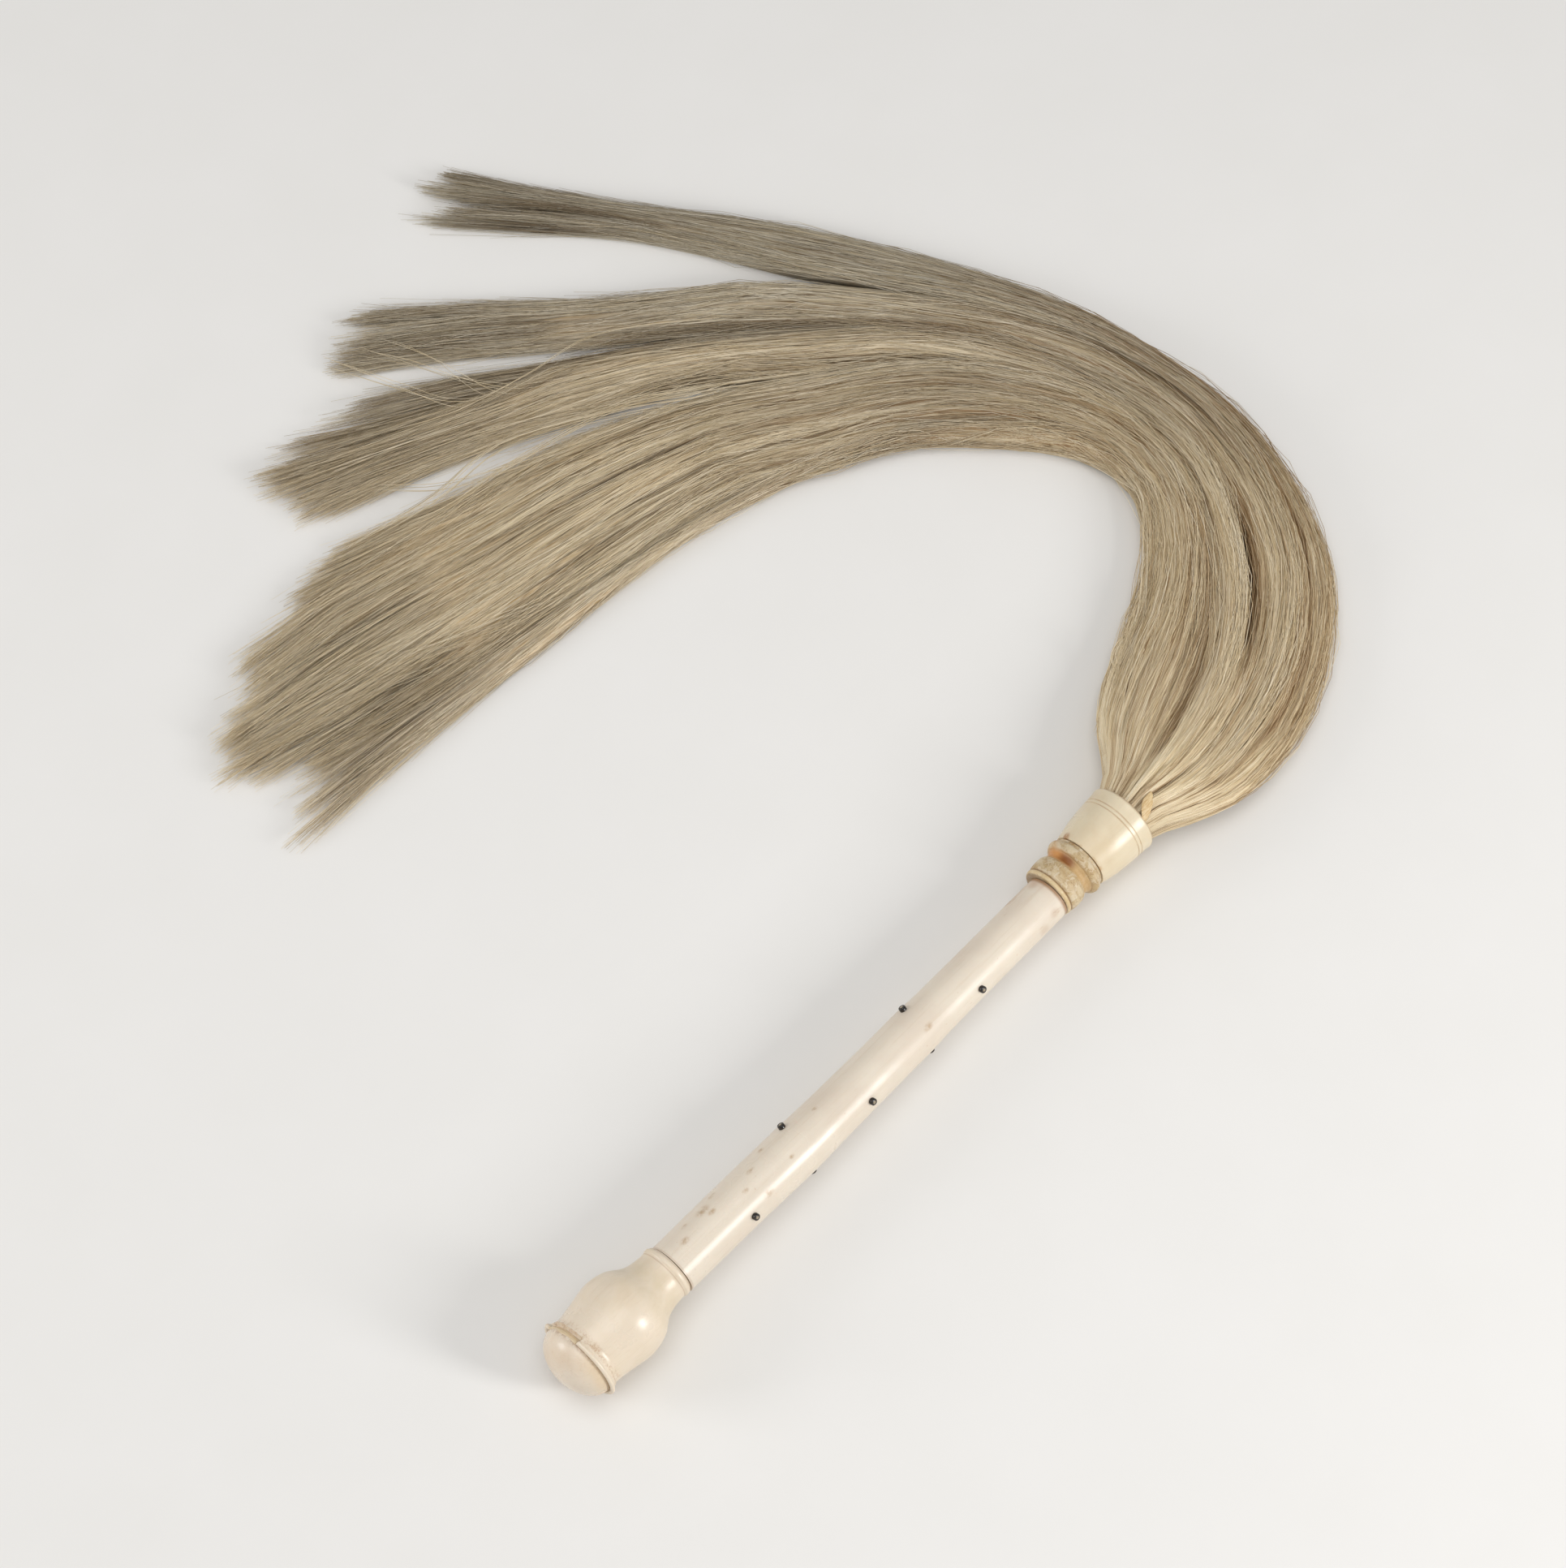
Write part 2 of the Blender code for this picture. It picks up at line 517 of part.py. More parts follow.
def main():
    clear_scene()
    ivory = make_material("ivory", (0.80, 0.71, 0.56), 0.28)
    stained = make_material("stained_ivory", (0.74, 0.58, 0.34), 0.32)
    bone = make_material("bone", (0.72, 0.64, 0.48), 0.5)
    dark = make_material("dark_horn", (0.015, 0.015, 0.014), 0.2)
    pitch = make_material("pitch", (0.03, 0.015, 0.008), 0.35)
    thread = make_material("thread", (0.45, 0.33, 0.19), 0.8)
    hide = make_material("hide", (0.62, 0.43, 0.22), 0.6)
    hair = make_material("horse_hair", (0.66, 0.57, 0.41), 0.45)

    axis = add_pivot("handle_axis", 0, 0, RIM_RADIUS, AXIS_TILT)
    make_pommel(ivory, bone, axis)
    shaft = make_shaft(ivory, axis)
    make_studs(dark, shaft, axis)
    make_ferrule(stained, ivory, bone, axis)
    make_root(pitch, hair, thread, hide, axis)
    lift = add_pivot("tail_lift_axis", *LIFT_AT)
    sway = add_pivot("tail_sway_axis", *SWAY_AT)
    make_waist(hair, lift, axis)
    make_bundles(hair, sway)
    make_locks(hair, sway)


main()
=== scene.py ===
# Fly whisk: an ivory handle turned in four sections, and a tail of pale horse hair swept round on the floor
import math

import bpy
import numpy as np
from mathutils import Matrix, Vector


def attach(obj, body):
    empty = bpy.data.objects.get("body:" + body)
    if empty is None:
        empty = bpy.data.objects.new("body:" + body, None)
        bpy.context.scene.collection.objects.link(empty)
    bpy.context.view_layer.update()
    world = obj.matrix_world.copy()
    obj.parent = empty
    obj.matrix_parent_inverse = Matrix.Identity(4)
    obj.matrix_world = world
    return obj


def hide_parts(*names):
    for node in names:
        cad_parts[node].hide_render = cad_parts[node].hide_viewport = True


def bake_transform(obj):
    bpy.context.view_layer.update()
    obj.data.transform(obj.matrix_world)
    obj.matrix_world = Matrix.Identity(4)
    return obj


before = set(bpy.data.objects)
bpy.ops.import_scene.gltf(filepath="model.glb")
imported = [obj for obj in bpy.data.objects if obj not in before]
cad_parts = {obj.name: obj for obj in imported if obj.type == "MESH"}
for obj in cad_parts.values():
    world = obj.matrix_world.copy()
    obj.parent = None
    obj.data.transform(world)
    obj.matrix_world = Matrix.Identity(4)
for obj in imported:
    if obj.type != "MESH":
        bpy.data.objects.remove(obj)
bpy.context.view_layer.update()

mm = 0.001
mouthAt = Vector((0.069225, -0.1852, 0.0))  # the floor below the middle of the cup's mouth
mouthHeight = 14.8
axisDrop = math.atan((17.5 - 14.8) / 276.7)  # the handle rests on its bulb and on the cup's rim


def place(x, y, z):
    # millimetres from the mouth: along the handle, to its left, up from the floor
    return mouthAt + Vector((x, y, z)) * mm


def onAxis(x, side=0.0):
    return place(x * math.cos(axisDrop), side, mouthHeight - x * math.sin(axisDrop))


def curveThrough(rows, s):
    # Catmull-Rom through rows of numbers, row i at s = i; s may be an array
    rows = np.asarray(rows, float)
    s = np.atleast_1d(np.asarray(s, float))
    last = len(rows) - 1
    i = np.clip(s.astype(int), 0, last - 1)
    t = (s - i)[:, None]
    a, b, c, d = (rows[np.clip(i + k, 0, last)] for k in (-1, 0, 1, 2))
    return 0.5 * (2 * b + (c - a) * t + (2 * a - 5 * b + 4 * c - d) * t**2 + (3 * b - a - 3 * c + d) * t**3)


def softened(points, perSpan):
    count = (len(points) - 1) * perSpan
    return [tuple(row) for row in curveThrough(points, np.linspace(0, len(points) - 1, count + 1))]


def rounded(x, radius, reach, rise, start, end, count):
    # points round part of an ellipse; angles run from along the handle towards larger radius
    angles = [math.radians(start + (end - start) * i / count) for i in range(count + 1)]
    return [(x + reach * math.cos(a), radius + rise * math.sin(a)) for a in angles]


def valueAt(table, x):
    return float(np.interp(x, [row[0] for row in table], [row[1] for row in table]))


def easing(value, low, high):
    t = np.clip((value - low) / (high - low), 0, 1)
    return t * t * (3 - 2 * t)


def choose(piece):
    bpy.ops.object.select_all(action="DESELECT")
    piece.select_set(True)
    bpy.context.view_layer.objects.active = piece


def disc(name, sides, radius, at, rotation=(0, 0, 0)):
    # what the turned pieces are extruded from
    bpy.ops.object.select_all(action="DESELECT")
    bpy.ops.mesh.primitive_circle_add(
        vertices=sides, radius=radius * mm, fill_type="NGON", location=at, rotation=rotation)
    piece = bpy.context.object
    piece.name = name
    return piece


def openAll():
    bpy.ops.object.mode_set(mode="EDIT")
    bpy.ops.mesh.select_all(action="SELECT")


def extrudeOn(step, scale, middle):
    bpy.ops.mesh.extrude_region_move(TRANSFORM_OT_translate={"value": step})
    bpy.ops.transform.resize(value=scale, center_override=middle)


def faceOut():
    bpy.ops.mesh.select_all(action="SELECT")
    bpy.ops.mesh.normals_make_consistent(inside=False)
    bpy.ops.object.mode_set(mode="OBJECT")


def turned(name, outline, sides=96, bow=((0.0, 0.0),)):
    # a disc is extruded from station to station along the handle and resized at each one
    x, radius = outline[0]
    at = onAxis(x, -valueAt(bow, x))
    piece = disc(name, sides, radius, at, (0, math.pi / 2 + axisDrop, 0))
    openAll()
    for x, nextRadius in outline[1:]:
        to = onAxis(x, -valueAt(bow, x))
        extrudeOn(to - at, (nextRadius / radius,) * 3, to)
        at, radius = to, nextRadius
    faceOut()
    return piece


def finished(piece, slot, look, *nodes, smooth=38):
    # settles a piece of the handle: its place goes into its mesh, and it stands for the nodes
    choose(piece)
    bpy.ops.object.transform_apply(location=True, rotation=True, scale=True)
    bpy.ops.object.shade_smooth_by_angle(angle=math.radians(smooth))
    piece.data.materials.clear()
    piece.data.materials.append(look)
    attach(piece, "handle")
    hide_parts(*nodes)


# Shader maths as Python: a Wire is a socket with arithmetic, a Look is a material being wired
class Wire:
    def __init__(self, look, socket):
        self.look = look
        self.socket = socket

    def maths(self, operation, *values, clamp=False):
        settings = {"operation": operation, "use_clamp": clamp}
        return self.look.node("ShaderNodeMath", settings, dict(enumerate(values)))

    def __add__(self, other):
        return self.maths("ADD", self, other)

    def __radd__(self, other):
        return self.maths("ADD", other, self)

    def __sub__(self, other):
        return self.maths("SUBTRACT", self, other)

    def __rsub__(self, other):
        return self.maths("SUBTRACT", other, self)

    def __mul__(self, other):
        return self.maths("MULTIPLY", self, other)

    def __rmul__(self, other):
        return self.maths("MULTIPLY", other, self)

    def held(self):
        return self.maths("ADD", self, 0.0, clamp=True)

    def size(self):
        return self.maths("ABSOLUTE", self)


class Look:
    def __init__(self, name):
        self.material = bpy.data.materials.new(name)
        self.material.use_nodes = True
        self.tree = self.material.node_tree
        self.tree.nodes.clear()

    def node(self, kind, settings=None, sockets=None, out=0):
        # the settings go first, because they change which sockets there are
        made = self.tree.nodes.new(kind)
        for key, value in (settings or {}).items():
            setattr(made, key, value)
        for key, value in (sockets or {}).items():
            if isinstance(value, Wire):
                self.tree.links.new(value.socket, made.inputs[key])
            else:
                made.inputs[key].default_value = value
        return Wire(self, made.outputs[out])

    def coords(self):
        # millimetres from the mouth
        place = self.node("ShaderNodeTexCoord", out=3)
        moved = self.node("ShaderNodeVectorMath", {"operation": "SUBTRACT"}, {0: place, 1: tuple(mouthAt)})
        return self.node("ShaderNodeVectorMath", {"operation": "SCALE"}, {0: moved, "Scale": 1000.0})

    def part(self, vector, axis):
        return self.node("ShaderNodeSeparateXYZ", None, {0: vector}, out="XYZ".index(axis))

    def stretched(self, vector, scale):
        return self.node("ShaderNodeVectorMath", {"operation": "MULTIPLY"}, {0: vector, 1: scale})

    def noise(self, vector, scale, detail=4.0, roughness=0.55, distortion=0.0):
        return self.node("ShaderNodeTexNoise", None, {
            "Vector": vector, "Scale": scale, "Detail": detail, "Roughness": roughness,
            "Distortion": distortion})

    def ramp(self, value, low, high, start=0.0, end=1.0):
        # a smooth step of value from low to high, giving start to end
        return self.node("ShaderNodeMapRange", {"interpolation_type": "SMOOTHSTEP"}, {
            "Value": value, "From Min": low, "From Max": high, "To Min": start, "To Max": end})

    def near(self, vector, spot, inner, outer):
        # 1 within inner millimetres of a spot, 0 past outer
        away = self.node("ShaderNodeVectorMath", {"operation": "DISTANCE"}, {0: vector, 1: spot}, out=1)
        return self.ramp(away, inner, outer, 1.0, 0.0)

    def mix(self, share, first, second, blend="MIX"):
        return self.node("ShaderNodeMix", {"data_type": "RGBA", "blend_type": blend}, {
            0: share, 6: first, 7: second}, out=2)

    def bump(self, height, distance, strength):
        return self.node("ShaderNodeBump", None, {
            "Height": height, "Distance": distance, "Strength": strength})

    def stained(self, colour, mask, stain):
        return self.mix(mask.held(), colour, stain)

    def polished(self, colour, roughness, height):
        # ivory lets a little light in below its polish
        return self.surface(
            Base_Color=colour, Roughness=roughness, IOR=1.5,
            Subsurface_Weight=0.08, Subsurface_Radius=(0.004, 0.0025, 0.0015), Subsurface_Scale=1.0,
            Normal=self.bump(height, 0.0002, 0.5))

    def surface(self, **sockets):
        shader = self.node("ShaderNodeBsdfPrincipled", None, {
            key.replace("_", " "): value for key, value in sockets.items()})
        end = self.tree.nodes.new("ShaderNodeOutputMaterial")
        self.tree.links.new(shader.socket, end.inputs["Surface"])
        return self.material


def tone(red, green, blue):
    # a colour as it shows on screen, 0 to 255, in the linear values that shaders take
    return tuple(((c / 255 + 0.055) / 1.055) ** 2.4 for c in (red, green, blue)) + (1.0,)


print("camera and studio")
camera = {
    "focalPixels": 5706, "pictureHeight": 1932, "sensor": 36,
    "at": (-0.57392, -0.60852, 1.60224), "tilt": 25.961, "turn": -46.9625,
}
bpy.ops.object.camera_add(
    location=camera["at"], rotation=(math.radians(camera["tilt"]), 0, math.radians(camera["turn"])))
eye = bpy.context.object
eye.data.lens = camera["focalPixels"] * camera["sensor"] / camera["pictureHeight"]
eye.data.sensor_width = camera["sensor"]
eye.data.clip_start = 0.05
bpy.context.scene.camera = eye
bpy.context.scene.view_settings.view_transform = "Standard"

studio = {
    # name, azimuth and elevation it shines from, distance, width, height, watts
    "lamps": (("keyLamp", 13.7, 24, 1.7, 0.3, 0.55, 12.0), ("sideLamp", -128, 22, 1.9, 0.7, 0.7, 9.0),
              ("topLamp", -60, 78, 2.2, 1.6, 1.6, 17.0)),
    "floorSize": 9.0, "floorDrop": 0.0004,
    "floorColours": (tone(232, 230, 226), tone(236, 234, 231)),
    "skyStrength": 0.42,
}


def makeStudio():
    for name, azimuth, elevation, distance, width, height, watts in studio["lamps"]:
        a, e = math.radians(azimuth), math.radians(elevation)
        towards = Vector((math.sin(a) * math.cos(e), -math.cos(a) * math.cos(e), math.sin(e)))
        bpy.ops.object.light_add(type="AREA", location=towards * distance)
        lamp = bpy.context.object
        lamp.name = name
        lamp.rotation_euler = towards.to_track_quat("Z", "Y").to_euler()
        lamp.data.shape = "RECTANGLE"
        lamp.data.size, lamp.data.size_y = width, height
        lamp.data.energy = watts

    world = bpy.data.worlds.new("paleRoom")
    bpy.context.scene.world = world
    world.use_nodes = True
    sky = world.node_tree.nodes["Background"].inputs
    sky["Color"].default_value = (1.0, 1.0, 1.0, 1.0)
    sky["Strength"].default_value = studio["skyStrength"]

    bpy.ops.mesh.primitive_plane_add(size=studio["floorSize"], location=(0, 0, -studio["floorDrop"]))
    floor = bpy.context.object
    floor.name = "paleFloor"
    look = Look("palePaper")
    grain = look.noise(look.coords(), 0.02, 3.0)
    colour = look.mix(grain, *studio["floorColours"])
    floor.data.materials.append(look.surface(Base_Color=colour, Roughness=0.9))


makeStudio()

print("ivory and dark finishes")
ivory = {
    "cream": tone(228, 216, 198), "pink": tone(222, 208, 190), "grain": tone(206, 186, 158),
    "brown": tone(150, 104, 56), "rust": tone(196, 160, 126), "fleck": tone(186, 158, 124),
    # flecks on the shaft: along, angle from the top towards the left, size
    "flecks": ((-118.0, -30, 1.5), (-205.0, 18, 1.2), (-206.0, -42, 1.5), (-228.0, 30, 2.0),
               (-226.0, 12, 1.2), (-241.0, 8, 1.4), (-196.0, 40, 1.0), (-236.5, 34, 1.0),
               (-221.0, 44, 1.2), (-171.0, 20, 0.9), (-212.0, -6, 1.0), (-190.5, -20, 0.8)),
    # stains beside the collar, likewise
    "stains": ((-51.0, 78, 6.0), (-57.0, 76, 5.0), (-48.0, 40, 3.0), (-50.0, -56, 3.0), (-57.0, -72, 3.4)),
}


def onShaft(x, angle):
    lean = math.radians(angle)
    radius = valueAt(shaft["radii"], x)
    return (x, radius * math.sin(lean) - valueAt(shaft["bow"], x),
            mouthHeight - x * math.sin(axisDrop) + radius * math.cos(lean))


def ivoryGround(look, vector, cream, second):
    # cloudy colour, with the faint grain that runs along the tusk
    clouds = look.noise(vector, 0.045, 4.0, 0.6)
    grain = look.noise(look.stretched(vector, (0.035, 1.0, 1.0)), 0.9, 5.0, 0.65)
    base = look.mix(look.ramp(clouds, 0.35, 0.7), cream, second)
    lines = look.ramp(grain, 0.5, 0.75) * 0.28
    return look.mix(lines, base, ivory["grain"]), grain, clouds


def makeShaftLook():
    look = Look("shaftIvory")
    at = look.coords()
    x = look.part(at, "X")
    colour, grain, clouds = ivoryGround(look, at, ivory["cream"], ivory["pink"])
    fine = look.noise(at, 0.6, 6.0, 0.7)
    slack = look.stretched(at, (0.6, 1.0, 1.0))
    for along, angle, size in ivory["flecks"]:
        px, py, pz = onShaft(along, angle)
        spot = look.near(slack, (px * 0.6, py, pz), size * 0.1, size * 1.3)
        colour = look.stained(colour, spot * look.ramp(fine, 0.32, 0.6) * 0.85, ivory["fleck"])
    # scraped and stained where it meets the collar
    scraped = look.ramp(x, -66.0, -45.0)
    blotch = look.ramp(look.noise(look.stretched(at, (0.35, 1.0, 1.0)), 0.22, 5.0, 0.7, 0.4), 0.52, 0.66)
    colour = look.stained(colour, scraped * blotch * 0.6, ivory["rust"])
    for along, angle, size in ivory["stains"]:
        patch = look.near(at, onShaft(along, angle), size * 0.2, size)
        patch = patch * look.ramp(blotch, 0.0, 0.5, 0.35, 1.0) * 0.7
        colour = look.stained(colour, patch, tone(172, 128, 84))
    # painted shade on the shaft just under the collar's lip
    paintedLipShade = look.ramp(x, -50.0, -45.5) * look.ramp(look.part(at, "Y"), -5.0, 6.0)
    colour = look.stained(colour, paintedLipShade * 0.4, tone(186, 142, 112))
    edge = look.ramp(x, -46.4, -44.9) + look.ramp(x, -249.1, -248.4, 0.3, 0.0)
    colour = look.stained(colour, edge * 0.8, ivory["brown"])
    pits = look.ramp(look.noise(at, 0.35, 3.0, 0.5), 0.70, 0.78)
    colour = look.stained(colour, pits * 0.5, ivory["rust"])
    flats = look.noise(look.stretched(at, (0.12, 1.0, 1.0)), 0.22, 2.0)
    height = grain * 0.25 + fine * 0.1 + scraped * flats * 2.0
    roughness = look.ramp(clouds, 0.3, 0.8, 0.25, 0.36) + look.ramp(x, -170.0, -130.0) * 0.1 + scraped * 0.08
    return look.polished(colour, roughness, height)


def roundAxis(look, at):
    # degrees round the handle, from the top towards the left
    height = look.part(at, "Z") - mouthHeight + look.part(at, "X") * math.sin(axisDrop)
    across = look.part(at, "Y")
    return across.maths("ARCTAN2", across, height) * (180 / math.pi)


def makePommelLook():
    look = Look("pommelIvory")
    at = look.coords()
    x = look.part(at, "X")
    colour, grain, clouds = ivoryGround(look, at, tone(230, 215, 194), tone(224, 207, 181))
    fine = look.noise(at, 0.7, 6.0, 0.7)
    wavy = x + (look.noise(at, 0.25, 3.0) - 0.5) * 1.6
    # dirt in the groove behind the rim, and the tan bed that the broken rim left
    groove = look.ramp(wavy, -295.4, -294.4) * look.ramp(wavy, -290.4, -293.4)
    colour = look.stained(colour, groove * look.ramp(fine, 0.44, 0.66) * 0.6, tone(176, 132, 88))
    turn = roundAxis(look, at)
    broken = look.ramp(turn, 1.0, 3.0) * look.ramp(turn, 74.0, 70.0) * look.ramp(x, -294.6, -295.4)
    colour = look.stained(colour, broken * 0.8, tone(214, 188, 146))
    edges = look.ramp((wavy + 294.7).size(), 0.5, 0.12) + look.ramp((turn - 1.5).size(), 2.6, 1.0)
    colour = look.stained(colour, broken * edges.held() * 0.75, tone(140, 98, 52))
    crack = look.ramp((wavy + 294.2).size(), 0.35, 0.08)
    colour = look.stained(colour, crack * look.ramp(clouds, 0.42, 0.6) * 0.5, ivory["brown"])
    for along, dark in ((-253.2, 0.3), (-250.2, 0.25)):
        colour = look.stained(colour, look.ramp((x - along).size(), 0.35, 0.08) * dark, ivory["brown"])
    # painted shade: the hollow of the neck is darker and greener
    paintedNeckShade = look.ramp((x + 262.0).size(), 9.0, 2.0) * look.ramp(clouds, 0.3, 0.7)
    colour = look.mix(paintedNeckShade * 0.4, colour, tone(200, 184, 150))
    scratch = look.near(at, (-268.6, -9.0, 34.0), 0.3, 2.2)
    colour = look.mix(scratch * look.ramp(grain, 0.5, 0.7) * 0.5, colour, tone(150, 150, 96))
    return look.polished(
        colour, look.ramp(clouds, 0.3, 0.8, 0.26, 0.38), grain * 0.2 + fine * 0.1 + broken * fine * 0.6)


def makeCapLook():
    look = Look("capIvory")
    at = look.coords()
    x = look.part(at, "X")
    colour, grain, clouds = ivoryGround(look, at, tone(232, 217, 197), tone(226, 205, 180))
    fine = look.noise(at, 0.6, 6.0, 0.75)
    base = look.ramp(x, -299.2, -296.8)
    colour = look.stained(colour, base * look.ramp(fine, 0.35, 0.65) * 0.7, ivory["brown"])
    spots = look.ramp(fine, 0.6, 0.7) * look.ramp(look.noise(at, 0.09, 2.0), 0.45, 0.6)
    colour = look.stained(colour, spots * 0.6, ivory["rust"])
    low = look.ramp(look.part(at, "Y"), 2.0, -14.0) * look.ramp(x, -304.0, -298.5)
    colour = look.mix(low * 0.5, colour, tone(214, 186, 142))
    return look.polished(colour, look.ramp(clouds, 0.3, 0.8, 0.24, 0.38), fine * 0.2)


def makeCollarLook():
    look = Look("collarStain")
    at = look.coords()
    x = look.part(at, "X")
    rings = look.noise(look.stretched(at, (1.8, 0.22, 0.22)), 0.5, 4.0, 0.65)
    blotch = look.noise(at, 0.14, 5.0, 0.65, 0.4)
    patches = look.noise(at, 0.32, 4.0, 0.7, 0.8)
    colour = look.mix(look.ramp(blotch, 0.35, 0.62), tone(212, 194, 160), tone(190, 164, 120))
    colour = look.mix(look.ramp(rings, 0.5, 0.66) * 0.5, colour, tone(166, 132, 86))
    colour = look.mix(look.ramp(patches, 0.5, 0.6) * 0.5, colour, tone(216, 202, 178))
    cracks = look.ramp((patches - 0.5).size(), 0.02, 0.004) * look.ramp(blotch, 0.4, 0.55)
    colour = look.stained(colour, cracks * 0.6, tone(140, 100, 58))
    orange = look.near(at, (-28.4, 9.6, 21.5), 1.5, 5.0)
    colour = look.mix(orange * look.ramp(blotch, 0.3, 0.6) * 0.5, colour, tone(206, 150, 84))
    cove = look.ramp((x + 32.6).size(), 2.6, 0.8)
    colour = look.stained(colour, cove * 0.75, tone(196, 160, 108))
    warm = look.near(at, (-32.4, 7.0, 22.0), 4.0, 10.5)
    colour = look.stained(colour, warm * cove * 0.85, tone(208, 142, 72))
    deep = look.near(at, (-32.3, 1.0, 24.6), 1.0, 5.5)
    colour = look.stained(colour, deep * cove * 0.9, tone(128, 70, 16))
    lip = look.ramp((x + 43.2).size(), 1.0, 0.5)
    colour = look.mix(lip * 0.6, colour, tone(222, 196, 148))
    under = look.ramp(x, -41.4, -42.2) * look.ramp(x, -42.8, -42.2)
    colour = look.stained(colour, under * 0.7, tone(132, 90, 42))
    gap = look.ramp(x, -44.0, -44.2)
    colour = look.stained(colour, gap * 0.55, tone(110, 74, 40))
    seam = look.ramp(x, -26.3, -25.8)
    colour = look.stained(colour, seam * look.ramp(blotch, 0.5, 0.62) * 0.6, tone(150, 106, 60))
    return look.surface(
        Base_Color=colour, Roughness=look.ramp(blotch, 0.3, 0.7, 0.38, 0.52), IOR=1.5,
        Subsurface_Weight=0.06, Subsurface_Radius=(0.003, 0.002, 0.001), Subsurface_Scale=1.0,
        Normal=look.bump(rings * 0.8 + patches * 0.7, 0.0004, 0.7))


def makeCupLook():
    look = Look("cupIvory")
    at = look.coords()
    x = look.part(at, "X")
    colour, grain, clouds = ivoryGround(look, at, tone(225, 210, 181), tone(216, 197, 164))
    # patches where the incised lines are worn fainter
    wearAndHighlight = look.ramp(look.noise(at, 0.12, 2.0), 0.4, 0.6)
    for line, _ in cup["lines"]:
        mask = look.ramp((x - line).size(), 0.42, 0.1) * (0.2 + wearAndHighlight * 0.3)
        colour = look.stained(colour, mask, tone(176, 136, 92))
    edge = look.ramp(x, -23.6, -25.2) * look.ramp(look.noise(at, 0.2, 3.0), 0.45, 0.62)
    colour = look.stained(colour, edge * 0.6, tone(190, 148, 92))
    dark = look.near(at, (-24.7, 8.2, 23.6), 0.5, 2.6)
    colour = look.stained(colour, dark * look.ramp(grain, 0.3, 0.5) * 0.8, tone(156, 98, 44))
    mouth = look.ramp(x, -1.1, -0.1)
    colour = look.stained(colour, mouth * 0.5, tone(150, 112, 66))
    return look.polished(colour, look.ramp(clouds, 0.3, 0.8, 0.27, 0.4), grain * 0.3)


def makeStudLook():
    look = Look("darkHorn")
    at = look.coords()
    mottle = look.noise(at, 0.9, 4.0)
    colour = look.mix(look.ramp(mottle, 0.4, 0.7), tone(22, 18, 16), tone(52, 40, 30))
    # a painted highlight: the middle of the head is pale, as if it caught the light
    wearAndHighlight = look.node("ShaderNodeAttribute", {"attribute_name": "studPaintedHighlight"}, out=2)
    colour = look.mix(wearAndHighlight * 0.75, colour, tone(176, 160, 134))
    return look.surface(Base_Color=colour, Roughness=look.ramp(mottle, 0.3, 0.7, 0.15, 0.3), IOR=1.55,
                        Normal=look.bump(mottle, 0.0001, 0.4))


def makeWedgeLook():
    look = Look("wedgeHide")
    at = look.coords()
    fibres = look.noise(look.stretched(at, (0.3, 1.5, 1.5)), 0.9, 5.0, 0.7)
    colour = look.mix(look.ramp(fibres, 0.35, 0.65), tone(226, 202, 158), tone(200, 166, 114))
    return look.surface(Base_Color=colour, Roughness=look.ramp(fibres, 0.3, 0.7, 0.4, 0.6),
                        Normal=look.bump(fibres, 0.0003, 0.5))


def makeHiddenLooks():
    # what the handle hides: dowels, pitch and thread
    bone = Look("dowelBone")
    grain = bone.noise(bone.stretched(bone.coords(), (0.05, 1.0, 1.0)), 0.9, 4.0)
    boneColour = bone.mix(grain, tone(222, 212, 188), tone(196, 178, 146))
    pitch = Look("socketPitch")
    lumps = pitch.noise(pitch.coords(), 0.3, 4.0)
    pitchColour = pitch.mix(lumps, tone(38, 26, 18), tone(70, 48, 30))
    roughness = pitch.ramp(lumps, 0.3, 0.7, 0.3, 0.6)
    thread = Look("rootThread")
    turns = thread.node("ShaderNodeTexWave", {"bands_direction": "X"}, {
        "Vector": thread.coords(), "Scale": 0.5, "Distortion": 0.6, "Detail": 2.0}, out=1)
    threadColour = thread.mix(turns, tone(120, 92, 58), tone(188, 160, 116))
    return {
        "bone": bone.surface(
            Base_Color=boneColour, Roughness=0.5, Normal=bone.bump(grain, 0.0002, 0.5)),
        "pitch": pitch.surface(
            Base_Color=pitchColour, Roughness=roughness, Normal=pitch.bump(lumps, 0.0005, 0.6)),
        "thread": thread.surface(
            Base_Color=threadColour, Roughness=0.75, Normal=thread.bump(turns, 0.0004, 0.8)),
    }


print("handle")
# outlines are rows of place along the handle and radius; a rounded piece has its middle, radius, reach
# along and out, the angles where it starts and ends, and its number of steps
pommel = {
    "sides": 96, "capBase": (-296.9, 15.2), "capTip": -307.2, "capSteps": 20,
    "capLip": ((0.35, -0.7), (0.12, -0.18)),
    "start": ((-296.6, 13.6), (-296.7, 15.4)),
    "flange": ((-297.3, 15.7), (-297.6, 16.4), (-297.35, 17.0), (-296.8, 17.3), (-296.2, 17.15),
               (-295.8, 16.55), (-295.2, 16.05), (-294.4, 15.75), (-293.6, 15.35)),
    "outline": ((-292.1, 15.2), (-286.2, 16.05), (-276.7, 17.5), (-268.9, 16.1), (-263.2, 12.5),
                (-258.9, 11.1), (-254.4, 10.6)),
    "bead": (-251.6, 10.6, 1.0, 0.5, 165, 15, 8), "end": (-249.9, 10.4),
    # where the rim is broken away: angle from the top towards the left, and the radius that is left
    "chip": ((1, 15.75), (8, 15.45), (16, 15.3), (28, 15.5), (40, 15.3), (52, 15.35), (64, 15.45),
             (73, 15.7)),
    "chipMiddle": -296.0, "chipReach": 1.9, "chipHalfSlice": 1.87,
}
